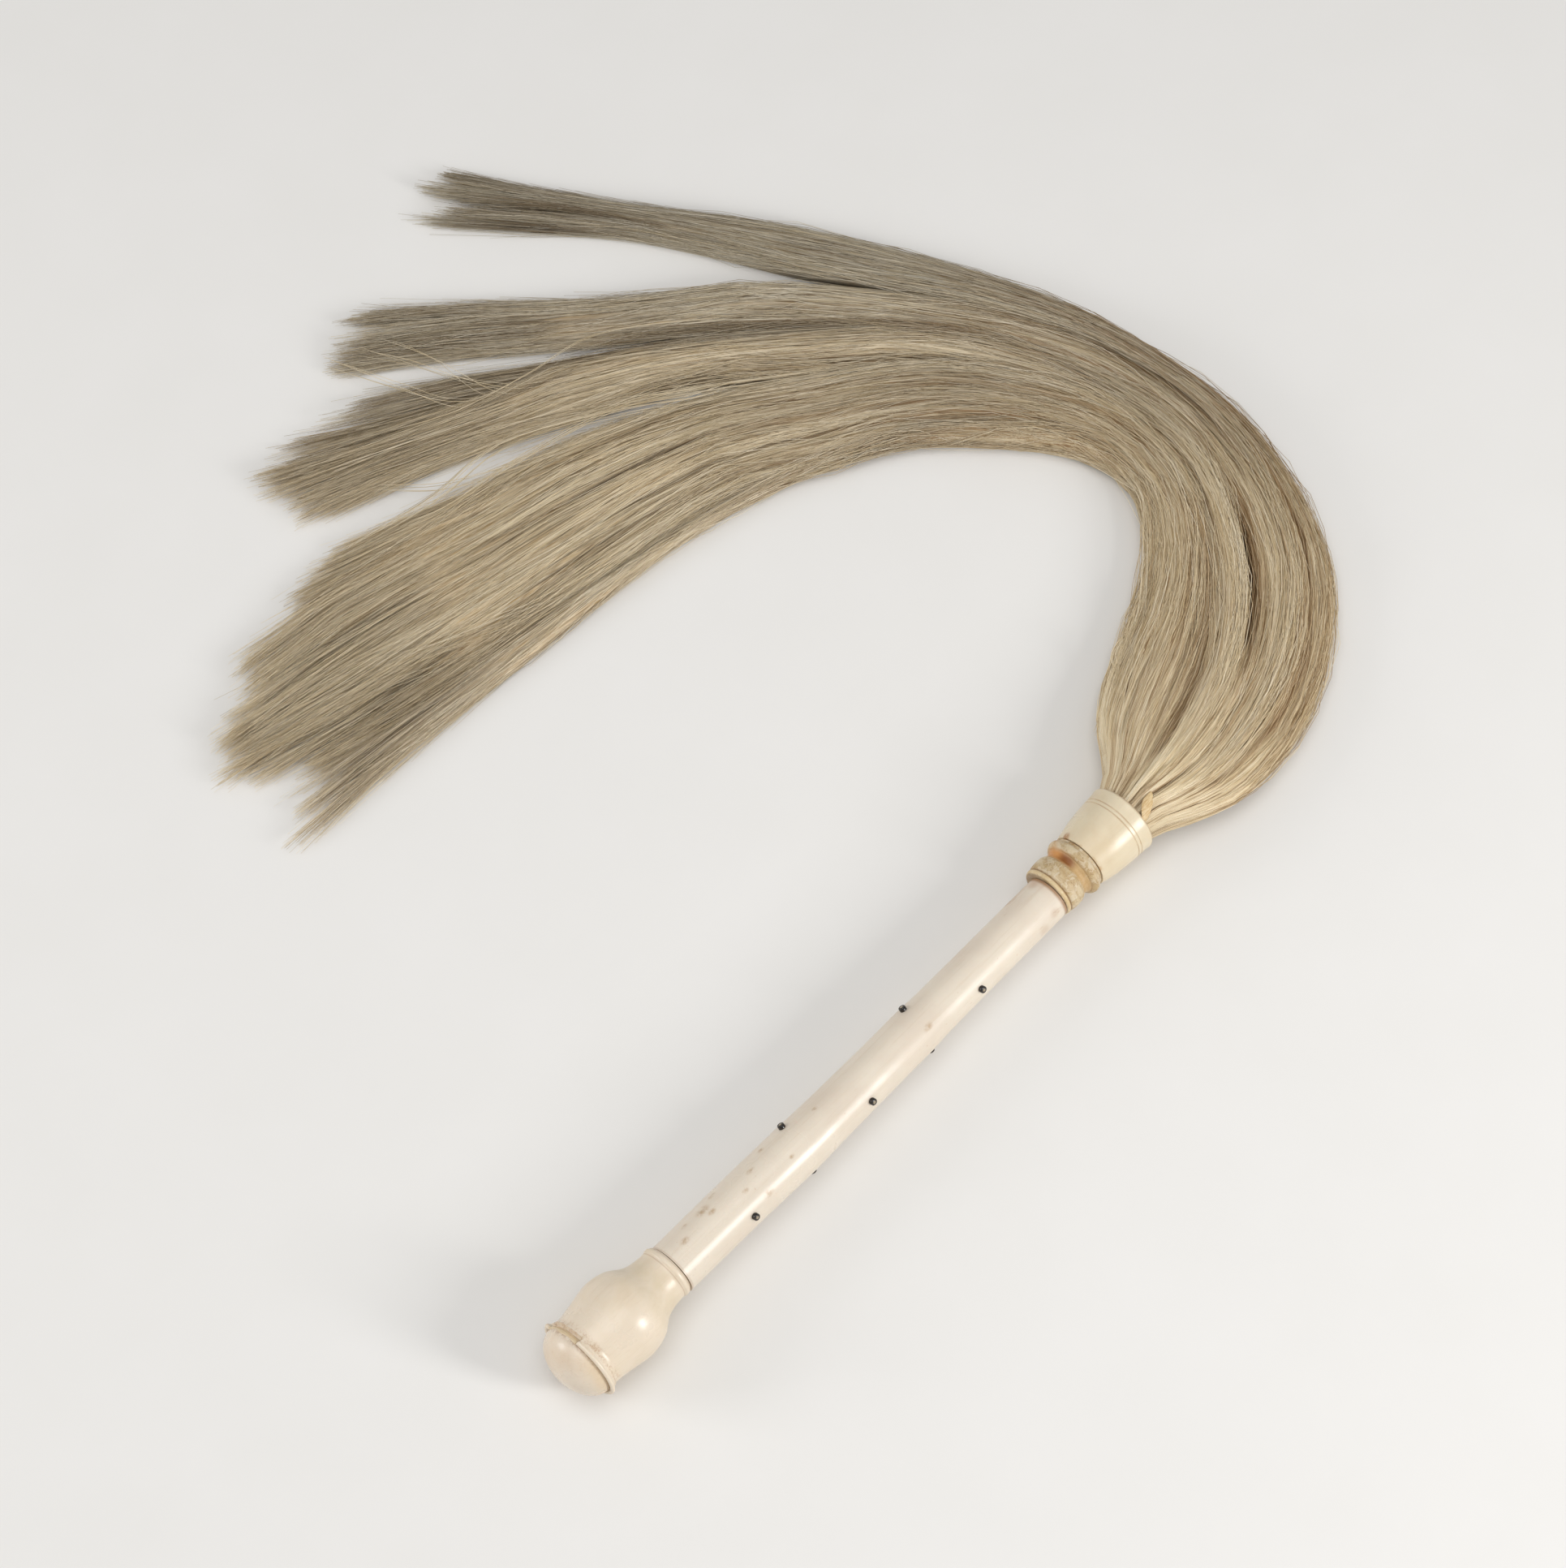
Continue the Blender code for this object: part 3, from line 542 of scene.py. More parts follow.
shaft = {
    "radii": ((-249.6, 10.4), (-216, 10.45), (-183, 10.6), (-170, 10.15), (-148, 9.9), (-131, 9.73),
              (-121, 9.88), (-110, 9.35), (-88, 9.22), (-54, 9.15), (-44.5, 9.05)),
    "bow": ((-249.6, 0.65), (-216, 0.9), (-180, 1.7), (-140, 1.75), (-104, 1.55), (-44.5, 1.4)),
    "stations": 74, "evened": 4.0, "endRadii": (9.9, 8.6),
}
studs = {
    "sides": 20, "radius": 1.4, "proud": 0.4, "depth": 1.2, "wearAndHighlight": 0.4,
    # the head from its edge inwards: how far below its top, and share of the radius
    "head": ((0.32, 1), (0.1, 0.88), (0.16, 0.72), (0.04, 0.56), (0, 0.3), (-0.02, 0.05)),
    # angle from the top towards the left, and places along the shaft
    "right": (-59, (-215.4, -153.0, -91.8)), "left": (45, (-184.0, -118.8)),
    "under_left": (121, (-215.4, -153.0, -91.8)), "under_right": (-135, (-184.0, -118.8)),
}
collar = {
    "start": (-44.2, 9.4), "lip": (-43.1, 10.0, 1.1, 0.9, 172, 25, 8),
    "barrel": ((-42.1, 10.45), (-41.6, 10.85), (-40.8, 11.15), (-38.4, 11.3), (-36.4, 11.2), (-35.3, 10.9),
               (-34.5, 10.3)),
    "cove": ((-33.9, 10.2), (-33.2, 9.95), (-32.3, 10.0), (-31.4, 10.5)),
    "bead": (-28.7, 10.5, 2.3, 2.0, 172, 12, 14), "end": (-25.6, 11.1),
}
cup = {
    "start": (-25.3, 10.6),
    "wall": ((-25.3, 11.7), (-24.4, 12.0), (-22.5, 12.4), (-17.4, 13.4), (-12.0, 14.0), (-8.3, 14.25)),
    "lines": ((-7.6, 14.3), (-6.0, 14.38)), "lineWidth": 0.5, "lineDepth": 0.22, "lineFloor": 0.3,
    "beyond": ((-4.6, 14.44), (-3.0, 14.5)), "rim": (-1.1, 13.9, 1.1, 0.9, 110, -30, 10),
    "bore": ((-0.4, 13.0), (-1.6, 12.85), (-4.0, 12.7), (-12.0, 12.0), (-18.6, 11.5)), "bottom": (-18.7, 0.4),
}
wedge = {
    "sides": 16,
    # middle, width and thickness, from inside the cup to its wide end among the hairs
    "rows": ((-4.5, -9.2, 20.8, 3.4, 1.2), (-0.3, -9.6, 24.6, 4.4, 1.2), (2.1, -8.6, 26.6, 5.6, 1.1),
             (4.2, -6.9, 27.8, 6.6, 1.0), (6.0, -5.2, 28.4, 6.4, 0.9), (7.2, -4.1, 28.6, 4.8, 0.5)),
}


def makePommel():
    x, radius = pommel["capBase"]
    reach = x - pommel["capTip"]
    lip = [(x + along, radius + out) for along, out in pommel["capLip"]]
    angles = np.linspace(0.0, math.pi / 2 - 0.02, pommel["capSteps"])
    dome = [(x - reach * math.sin(a), radius * math.cos(a)) for a in angles]
    finished(turned("pommelCap", lip + dome), "ivory", makeCapLook(), "pommel_cap")

    flange = softened(pommel["flange"], 2)
    swell = softened(pommel["outline"], 6)
    outline = [*pommel["start"], *flange, *swell, *rounded(*pommel["bead"]), pommel["end"]]
    bulb = turned("pommelBulb", outline, pommel["sides"])
    chipRim(bulb)
    finished(bulb, "ivory", makePommelLook(), "pommel_bulb", smooth=48)


def chipRim(bulb):
    # the rim's points within each slice of angle are drawn in to the broken edge
    angles, radii = zip(*pommel["chip"])
    middle = onAxis(pommel["chipMiddle"])
    choose(bulb)
    places = [bulb.matrix_world @ vert.co - middle for vert in bulb.data.vertices]
    turns = [math.degrees(math.atan2(p.y, p.z)) for p in places]
    away = [math.hypot(p.y, p.z) / mm for p in places]
    for number in range(pommel["sides"]):
        angle = number * 360 / pommel["sides"] - 180
        if not angles[0] <= angle <= angles[-1]:
            continue
        left = float(np.interp(angle, angles, radii)) + 0.12 * math.sin(angle * 1.9)
        bpy.ops.object.mode_set(mode="EDIT")
        bpy.ops.mesh.select_all(action="DESELECT")
        bpy.ops.object.mode_set(mode="OBJECT")
        widest = 0
        for vert, p, turn, radius in zip(bulb.data.vertices, places, turns, away):
            inSlice = abs(turn - angle) < pommel["chipHalfSlice"] and abs(p.x) / mm < pommel["chipReach"]
            if inSlice and radius > left:
                vert.select = True
                widest = max(widest, radius)
        if not widest:
            continue
        bpy.ops.object.mode_set(mode="EDIT")
        share = left / widest
        bpy.ops.transform.resize(value=(1, share, share), center_override=middle)
        bpy.ops.object.mode_set(mode="OBJECT")


def makeShaft():
    at, radii = zip(*shaft["radii"])
    start, end, count = at[0], at[-1], shaft["stations"]
    places = [start + (end - start) * i / count for i in range(count + 1)]
    first, last = shaft["endRadii"]
    outline = [(start, first)]
    for x in places:
        near = np.exp(-((np.array(places) - x) / shaft["evened"]) ** 2)
        outline.append((x, float((near * np.interp(places, at, radii)).sum() / near.sum())))
    outline.append((end, last))
    finished(turned("shaftIvory", outline, bow=shaft["bow"]), "ivory", makeShaftLook(), "shaft")


def makeStuds():
    # one stud is modelled standing up at the world's middle, then copied to its places
    look = makeStudLook()
    at, size = -studs["depth"], studs["radius"]
    first = disc("studFirst", studs["sides"], size, (0, 0, at * mm))
    openAll()
    for below, share in studs["head"]:
        z, radius = studs["proud"] - below, studs["radius"] * share
        extrudeOn((0, 0, (z - at) * mm), (radius / size,) * 3, (0, 0, z * mm))
        at, size = z, radius
    faceOut()
    # a painted highlight: pale in the middle of the head
    paintedHighlight = first.data.attributes.new("studPaintedHighlight", "FLOAT", "POINT")
    for vert, value in zip(first.data.vertices, paintedHighlight.data):
        inside = math.hypot(vert.co.x, vert.co.y) < studs["radius"] * studs["wearAndHighlight"] * mm
        value.value = float(vert.co.z > 0 and inside)
    alongHandle = Matrix.Translation(place(0, 0, mouthHeight)) @ Matrix.Rotation(axisDrop, 4, "Y")
    for row in ("right", "left", "under_left", "under_right"):
        angle, places = studs[row]
        lean = math.radians(angle)
        outward = Vector((0, math.sin(lean), math.cos(lean)))
        facing = outward.to_track_quat("Z", "X").to_matrix().to_4x4()
        for number, x in enumerate(places, 1):
            stud = first.copy()
            stud.data = first.data.copy()
            bpy.context.scene.collection.objects.link(stud)
            foot = Vector((x, -valueAt(shaft["bow"], x), 0)) + outward * valueAt(shaft["radii"], x)
            stud.matrix_world = alongHandle @ Matrix.Translation(foot * mm) @ facing
            stud.name = f"stud{row.title().replace('_', '')}{number}"
            finished(stud, "dark_horn", look, f"stud_{row}_{number}", smooth=50)
    bpy.data.objects.remove(first)


def makeFerrule():
    outline = [collar["start"], *rounded(*collar["lip"]), *softened(collar["barrel"], 3),
               *softened(collar["cove"], 3), *rounded(*collar["bead"]), collar["end"]]
    finished(turned("ferruleCollar", outline), "stained_ivory", makeCollarLook(), "ferrule_collar")

    wall = [cup["start"], *softened(cup["wall"], 4)]
    half = cup["lineWidth"] / 2
    narrow = half * cup["lineFloor"]
    for line, radius in cup["lines"]:
        low = radius - cup["lineDepth"]
        wall += [(line - half, radius), (line - narrow, low), (line + narrow, low), (line + half, radius)]
    outline = [*wall, *cup["beyond"], *rounded(*cup["rim"]), *cup["bore"], cup["bottom"]]
    finished(turned("ferruleCup", outline), "ivory", makeCupLook(), "ferrule_cup")


def makeWedge():
    # a thin tab is extruded out of the cup and across the hairs, widening as it goes
    (x, y, z, wide, thick), *rest = softened(wedge["rows"], 2)
    at = place(x, y, z)
    tab = disc("rootWedge", wedge["sides"], 0.5, at, (math.pi / 2, 0, 0))
    bpy.ops.object.transform_apply(location=True, rotation=True, scale=True)
    openAll()
    bpy.ops.transform.resize(value=(wide, 1, thick), center_override=at)
    for x, y, z, nextWide, nextThick in rest:
        to = place(x, y, z)
        extrudeOn(to - at, (nextWide / wide, 1, nextThick / thick), to)
        at, wide, thick = to, nextWide, nextThick
    faceOut()
    finished(tab, "hide", makeWedgeLook(), "root_wedge", smooth=60)


makePommel()
makeShaft()
makeStuds()
makeFerrule()
makeWedge()

hidden = makeHiddenLooks()
carried = {"pommel_dowel": "bone", "ferrule_dowel": "bone", "socket_pitch": "pitch", "root_binding": "thread"}
for node, kind in carried.items():
    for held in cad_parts[node].material_slots:
        held.material = hidden[kind]


print("hair")
tail = {
    # the hair from inside the cup to where it has spread out: x, y, half width, turn, bottom, top, how square
    "mouth": ((-10.0, 0.0, 10.2, 0, 4.9, 24.7, 0.0), (-1.0, 0.0, 12.2, 0, 2.8, 26.8, 0.0),
              (8.0, 0.5, 16.2, 3, 1.4, 28.2, 0.05), (18.0, 1.3, 23.0, 8, 0.7, 26.6, 0.15)),
    # ribs across it: outer x, outer y, inner x, inner y, height
    "ribs": ((39, -26.5, 24, 34, 24), (66, -26, 40, 44, 20.5), (92, -19, 57, 52, 18), (118, -5, 77, 60, 17),
             (140, 14, 94, 70, 17), (158, 45, 108, 83, 18), (168, 80, 115, 97, 18), (169, 115, 114, 115, 18),
             (163, 160, 105, 133, 16), (148, 203, 86, 157, 14)),
    # places of each hair's points along the first of its three lengths, and how many its second has
    "near": np.linspace(-9.0, 52.0, 8), "bendPoints": 8,
    "thick": 0.13, "looseThick": 0.11, "lowest": 0.35, "pieceTriangles": 195000,
    "ragged": 6.0, "tipLength": 95.0,
    "coarse": 1.9, "medium": 0.8, "small": 0.3,  # heights of the ribbons that the hair lies in
    "undersideShare": 0.09, "looseShare": 0.065,
}
# each lock's share of the tail's width from its outer edge, its hairs, how far it stands over the others,
# its colour and creases, the tufts at its tips, how early its hairs end from edge to edge, and its ribs
# past the tail's; slits are partings of its own with painted shade, shaded parts are first and last u,
# place and how much painted shade. The upper locks' greyer, darker colours are partly their own and
# partly painted shade, where the light falls off
locks = {
    "top": {
        "share": (0.0, 0.225), "hairs": 1350, "tint": (194, 187, 171), "creases": 7, "lift": 2.0,
        "nodes": ("top_lock_upper", "top_lock_lower"), "splay": 0.4,
        "tufts": (0.06, 0.14, 0.23, 0.32, 0.41, 0.5, 0.84, 0.92),
        "early": ((0.0, 4), (0.3, -3), (0.55, -2), (0.7, 26), (0.85, -6), (1.0, -2)),
        "slits": ((0.66, 0.0, -95, 20, 1.7, 0.8), (0.3, 0.0, -150, -80, 0.8, 0.6),
                  (0.5, 0.1, -230, -130, 0.8, 0.5)),
        "ribs": ((133.4, 235.6, 118, 222, 12), (118.5, 264.5, 104, 247.5, 11), (105, 289.5, 90.4, 273, 10),
                 (75.7, 332.7, 66, 322, 8), (51.9, 371.3, 37, 359, 7), (33.3, 402, 11.8, 390.9, 6)),
    },
    "second": {
        "share": (0.19, 0.425), "hairs": 1350, "tint": (216, 207, 188), "creases": 10, "lift": 0.0,
        "nodes": ("second_lock_upper", "second_lock_lower"),
        "tufts": (0.05, 0.14, 0.26, 0.37, 0.5, 0.62, 0.74, 0.85, 0.95),
        "early": ((0.0, 6), (0.5, 3), (0.9, -2), (1.0, 2)), "shaded": ((0.82, 1.06, 280, 480, 0.5),),
        "ribs": ((117.6, 222.2, 104.8, 211.6, 12), (101, 245, 89, 231, 11.5), (86.4, 267.4, 72, 250, 10.5),
                 (65, 285, 51, 270, 9.5), (35.2, 310.2, 21.3, 294.3, 8.5), (2, 344, -14.5, 325.5, 7.5),
                 (-20, 363, -35.4, 344.6, 7), (-47.7, 384.3, -66, 369, 6)),
    },
    "thin": {
        "share": (0.40, 0.455), "hairs": 330, "tint": (206, 195, 174), "creases": 3, "lift": 0.0,
        "nodes": ("thin_lock",),
        "tufts": (0.1, 0.35, 0.62, 0.88), "early": ((0.0, 6), (0.5, 0), (1.0, 8)),
        "ribs": ((106, 213, 101, 208, 9), (84, 236, 77, 230, 8), (60, 260, 54, 254, 7), (40, 277, 36, 272, 6),
                 (18, 292, 13.5, 287, 6), (-2, 307, -8, 299.5, 6), (-22, 322, -29, 311.5, 6),
                 (-42, 336, -49, 322, 6), (-62, 348, -70, 332, 5.5), (-80, 357, -86, 341, 5)),
    },
    "third": {
        "share": (0.425, 0.635), "hairs": 1450, "tint": (230, 216, 189), "creases": 12, "lift": 0.0,
        "nodes": ("third_lock_upper", "third_lock_lower"),
        "tufts": (0.05, 0.13, 0.22, 0.32, 0.42, 0.52, 0.62, 0.72, 0.83, 0.93),
        "early": ((0.0, 10), (0.15, 2), (0.35, -11), (0.6, -8), (0.8, 2), (1.0, 7)),
        "ribs": ((104, 210.8, 90.4, 199.2, 12), (78, 237, 67, 220, 11.5), (44.2, 268, 33.5, 253, 10.5),
                 (5, 299, -9.5, 277, 9), (-40, 319.5, -54, 299.2, 8), (-88, 343, -101, 317.8, 7),
                 (-109, 356, -121.5, 323, 6)),
    },
    "main": {
        "share": (0.625, 0.985), "hairs": 3300, "tint": (246, 232, 203), "creases": 38, "lift": 0.5,
        "nodes": ("main_lock_outer", "main_lock_middle", "main_lock_inner"), "light": 1.13, "outward": 7.0,
        "tufts": (0.02, 0.06, 0.11, 0.16, 0.22, 0.27, 0.33, 0.39, 0.44, 0.5, 0.56, 0.62, 0.67, 0.73, 0.79,
                  0.84, 0.9, 0.96),
        "early": ((0.0, 68), (0.08, 44), (0.18, 24), (0.26, 4), (0.36, 8), (0.45, -6), (0.65, -14),
                  (0.82, -2), (1.0, 20)),
        "shaded": ((0.89, 0.99, 390, 560, 0.34),),
        "ribs": ((89.6, 198.4, 64.8, 177.8, 12), (60, 221.5, 38.5, 191, 12), (26, 249.5, 4, 210, 11),
                 (-23, 273, -45.5, 219.5, 10), (-72, 288, -97, 225, 9), (-107, 299, -133, 229.5, 8.5),
                 (-142, 306, -169, 237, 8), (-189, 304, -214, 252, 6.5)),
    },
    "fringe": {
        "share": (0.955, 1.0), "hairs": 560, "tint": (248, 235, 210), "creases": 6, "lift": 0.0,
        "nodes": ("fringe_lock",), "light": 1.1,
        "tufts": (0.12, 0.4, 0.62, 0.88), "early": ((0.0, 12), (0.5, -2), (1.0, 6)),
        "ribs": ((69, 181, 65, 177.5, 9), (42, 196, 39, 191.5, 8), (0, 209, -1, 205, 7),
                 (-30, 215, -30.5, 211, 7), (-60, 221, -60.5, 214.5, 7), (-100, 227, -100.5, 217.5, 6.5),
                 (-140, 233.5, -140.5, 220.5, 6), (-175, 238, -175.5, 222.5, 6), (-214, 244, -215, 224, 5.5)),
    },
}
# partings and ridges that show in the bend: station and share of the width along each, half width in
# share of the width, how deep in millimetres, how much painted shade (below 0, a painted highlight on
# the ridge), and how far the hair stands aside
partings = (
    {"line": ((5.7, 0.385), (9.3, 0.385)), "half": 0.02, "deep": 4.0, "dark": 0.92, "open": 0.8},
    {"line": ((6.0, 0.352), (10.0, 0.352)), "half": 0.03, "deep": 1.3, "dark": 0.2},
    {"line": ((1.6, 0.505), (4.2, 0.50), (6.4, 0.475), (10.8, 0.47)), "half": 0.045, "deep": -2.6,
     "dark": -0.42},
    {"line": ((2.8, 0.562), (4.7, 0.58), (6.4, 0.61), (9.6, 0.62)), "half": 0.05, "deep": 1.2, "dark": 0.36},
    {"line": ((3.0, 0.552), (4.7, 0.556), (6.4, 0.57), (8.6, 0.58)), "half": 0.012, "deep": 1.2, "dark": 0.3,
     "open": 0.5},
    {"line": ((3.4, 0.62), (4.2, 0.64), (6.0, 0.70), (8.3, 0.75)), "half": 0.03, "deep": 0.9, "dark": 0.16},
    {"line": ((4.2, 0.14), (5.0, 0.123), (6.6, 0.111), (9.4, 0.13)), "half": 0.03, "deep": 1.2, "dark": 0.36},
    {"line": ((8.9, 0.16), (9.6, 0.18), (10.6, 0.14)), "half": 0.01, "deep": 1.2, "dark": 0.3},
    {"line": ((11.2, 0.93), (12.0, 0.873), (12.7, 0.84), (13.4, 0.83)), "half": 0.012, "deep": 1.5,
     "dark": 0.35},
    {"line": ((0.8, 0.66), (3.4, 0.655)), "half": 0.014, "deep": 2.0, "dark": 0.55},
    {"line": ((0.8, 0.56), (3.6, 0.55)), "half": 0.012, "deep": 2.2, "dark": 0.6},
    {"line": ((0.8, 0.45), (3.0, 0.44)), "half": 0.012, "deep": 2.0, "dark": 0.55},
    {"line": ((0.8, 0.36), (4.2, 0.33)), "half": 0.014, "deep": 1.6, "dark": 0.4},
)
# the middle hair crosses the bend towards its inner side
sweep = {"middle": 0.5, "half": 0.2, "amount": 0.12}
hairColours = {
    # along the hair, before the lock's own colour takes over at the last stop
    "stops": (0.0, 45.0, 130.0, 240.0, 380.0),
    "tints": ((248, 232, 200), (246, 230, 197), (239, 223, 190), (196, 182, 157)),
    # dark and darkFar are the golden brown of painted shade, pale the cream of painted highlight; packed, the
    # hair under the outer hairs, is darkened as painted shade
    "dark": (178, 128, 66), "darkFar": (160, 132, 92), "pale": (252, 240, 216),
    "packed": (178, 162, 134), "stray": (246, 232, 204),
}
# loose hairs that show between the locks and inside the bend: points from the mouth, how many, how far apart
strays = (
    (((36.7, 240.3, 15), (22.4, 249, 13.5), (-1, 267.7, 11), (-41.6, 291, 8.5), (-77, 294, 7),
      (-116, 303.3, 5)), 8, 1.6),
    (((66, 217, 15), (22, 252, 13), (-1, 268, 10), (-47, 281, 8), (-75, 286, 7), (-94, 293.5, 6)), 7, 1.8),
    (((22, 249, 13), (-15, 266, 9), (-52.5, 283.4, 8), (-74, 295.5, 6), (-91, 315, 4)), 4, 1.2),
    (((60, 262, 15), (19.9, 295, 13.5), (-12.6, 304.3, 11), (-44, 315, 8), (-70, 330, 6)), 2, 0.6),
    (((0, 292, 9), (-18.7, 304, 8), (-31.4, 324.3, 7.5), (-40, 344.6, 7.5), (-50, 362, 7)), 3, 2.0),
    (((-22, 302, 8), (-28.5, 312.5, 8), (-33, 337.8, 8), (-40, 360, 7.5)), 2, 1.5),
    (((-20, 302, 7), (-39.8, 319.8, 6.5), (-50.6, 337.4, 6.5), (-63.9, 367.5, 5.5)), 4, 2.0),
    (((20, 31.5, 12.5), (32.5, 37, 12), (44.3, 42, 12.5), (49.4, 49, 13), (58, 51.5, 13)), 4, 0.7),
    (((66, 51, 12), (76.4, 57.5, 12), (98.6, 75.2, 13), (111, 88, 14), (115.7, 102, 14)), 5, 0.8),
    (((40, 202, 8), (10, 214, 8), (-30, 222, 7), (-80, 232, 6), (-130, 240, 5)), 6, 2.0),
)


class Lock:
    # the space that one lock's hair fills, from inside the cup to its tips
    def __init__(self, share, ribs, lift=0.0):
        rows = []
        low, high = share
        for x, y, half, turn, bottom, top, square in tail["mouth"]:
            a = math.radians(turn)
            outer = np.array((x + half * math.sin(a), y - half * math.cos(a)))
            across = 2 * (np.array((x, y)) - outer)
            rows.append((*(outer + across * low), *(outer + across * high), bottom, top, square, 0.0))
        for i, (ox, oy, ix, iy, height) in enumerate(tail["ribs"]):
            outer, across = np.array((ox, oy)), np.array((ix - ox, iy - oy))
            rise = lift * max(0.0, (i - 5) / 4)
            rows.append((*(outer + across * low), *(outer + across * high), 0.5, height + rise,
                         min(1.0, 0.3 + 0.3 * i), max(0.0, (i - 6) / 8)))
        for i, (ox, oy, ix, iy, height) in enumerate(ribs):
            rise = lift * max(0.0, 1 - i / 5)
            rows.append((ox, oy, ix, iy, 0.5, height + rise, 1.0, min(1.0, 0.6 + 0.2 * i)))
        last = len(rows) - 1
        stations = np.linspace(0, last, last * 24 + 1)
        through = curveThrough(rows, stations)
        # a last row lets the longest hairs go on past the lock's end
        beyond = through[-1] + (through[-1] - through[-4]) * 9
        beyond[4:] = through[-1][4:]
        self.rows = np.vstack([through, beyond])
        self.stations = np.r_[stations, last + 0.9]
        middle = (self.rows[:, 0:2] + self.rows[:, 2:4]) / 2
        along = np.r_[0.0, np.cumsum(np.linalg.norm(np.diff(middle, axis=0), axis=1))]
        self.along = along - along[26]  # 0 at the mouth
        self.end = self.along[-2]
        self.share = share
        rng = np.random.default_rng(int(100 * (share[0] + 3 * share[1])))
        self.drift = Drift(rng, ((0.9, 15.0, 190.0), (0.75, 7.0, 120.0), (0.36, 3.4, 80.0), (0.2, 1.6, 60.0)))
        # streaks of painted light and shade that follow the hair
        self.streak = Drift(rng, ((0.35, 9.0, 200.0), (0.5, 4.0, 120.0), (0.8, 2.0, 80.0), (0.9, 1.1, 60.0)))

    def values(self, along):
        found = [np.interp(along, self.along, self.rows[:, k]) for k in range(self.rows.shape[1])]
        return found + [np.interp(along, self.along, self.stations)]

    def point(self, along, u, depth, height=None, felt=None):
        # u runs across the lock from its outer edge, depth is millimetres under its surface; a height from
        # 0 at the underside to 1 at the top takes the surface's place; felt is the u whose relief it takes
        ox, oy, ix, iy, bottom, top, square, apart, station = self.values(along)
        span = self.share[1] - self.share[0]
        held = self.share[0] + span * (u if felt is None else felt)
        shift = sweep["amount"] * easing(station, 5.6, 8.8) * (1 - easing(station, 9.5, 13.5))
        shift = shift * np.exp(-(((held - sweep["middle"]) / sweep["half"]) ** 2))
        u = u + (shift + opening(held, station)) / span
        whole = self.share[0] + span * u
        edge = np.clip((2 * whole - 1) * (1 - apart) + (2 * u - 1) * apart, -0.998, 0.998)
        rise = np.sqrt(1 - edge**2)
        middle, half = (top + bottom) / 2, (top - bottom) / 2
        low = (middle - half * rise) * (1 - square) + 0.5 * square
        domed = 0.5 + (top - 0.5) * (0.22 + 0.78 * rise)
        high = (middle + half * rise) * (1 - square) + domed * square
        relief, shade = reliefAt(held, station)
        relief = relief * np.clip((high - low) / 14, 0.2, 1.0) * (0.3 + 0.7 * rise)
        z = high + relief - depth
        if height is not None:
            z = low + (np.maximum(high + relief * 0.5, low + 0.4) - low) * height
        out = np.stack([ox + (ix - ox) * u, oy + (iy - oy) * u, np.maximum(z, tail["lowest"])], -1)
        return out, shade, whole, station

    def slits(self, facts):
        # partings of the lock's own: u, lean, first and last from its end, half width and how much painted
        # shade
        rng = np.random.default_rng(int(1000 * self.share[0]) + 5)
        rows = list(facts.get("slits", ()))
        for _ in range(facts["creases"]):
            last = -rng.uniform(-15, self.end - 190) * rng.uniform(0.3, 1.0)
            rows.append((rng.uniform(0.04, 0.96), rng.normal(0, 0.02), last - rng.uniform(45, 110), last,
                         rng.uniform(0.3, 0.7), rng.uniform(0.6, 0.95)))
        return rows


class Ribbons:
    # creases where a sum of long waves crosses zero, and rounded ribbons between them
    def __init__(self, seed, across, stations):
        rng = np.random.default_rng(seed)
        self.across = rng.uniform(0.55, 1.45, 7) * across * rng.choice((-1, 1), 7)
        self.rate = rng.uniform(-1, 1, 7) / stations
        self.phase = rng.uniform(0, math.tau, 7)

    def at(self, whole, station):
        total = 0.0
        for across, rate, phase in zip(self.across, self.rate, self.phase):
            total = total + np.sin(math.tau * (across * whole + rate * station) + phase)
        return total / 1.87


coarse, medium, small = Ribbons(3, 3.6, 9.0), Ribbons(11, 10.0, 6.0), Ribbons(5, 27.0, 4.5)
fleeting, litAndShadedBands = Ribbons(8, 5.0, 3.0), Ribbons(21, 7.0, 7.0)


def acrossParting(parting, whole, station, fade):
    # how far away a parting is, in its half widths, and how much of it there is between its ends
    line = np.array(parting["line"])
    away = (whole - np.interp(station, line[:, 0], line[:, 1])) / parting["half"]
    start, end = line[0, 0], line[-1, 0]
    return away, easing(station, start, start + fade) * easing(-station, -end, fade - end)


def opening(whole, station):
    # how far the hair stands aside from the partings
    aside = 0.0
    for parting in partings:
        if "open" in parting:
            away, ends = acrossParting(parting, whole, station, 1.2)
            most = parting["open"] * parting["half"]
            aside = aside + most * ends * np.tanh(away * 4) * np.exp(-((away / 2.5) ** 2))
    return aside


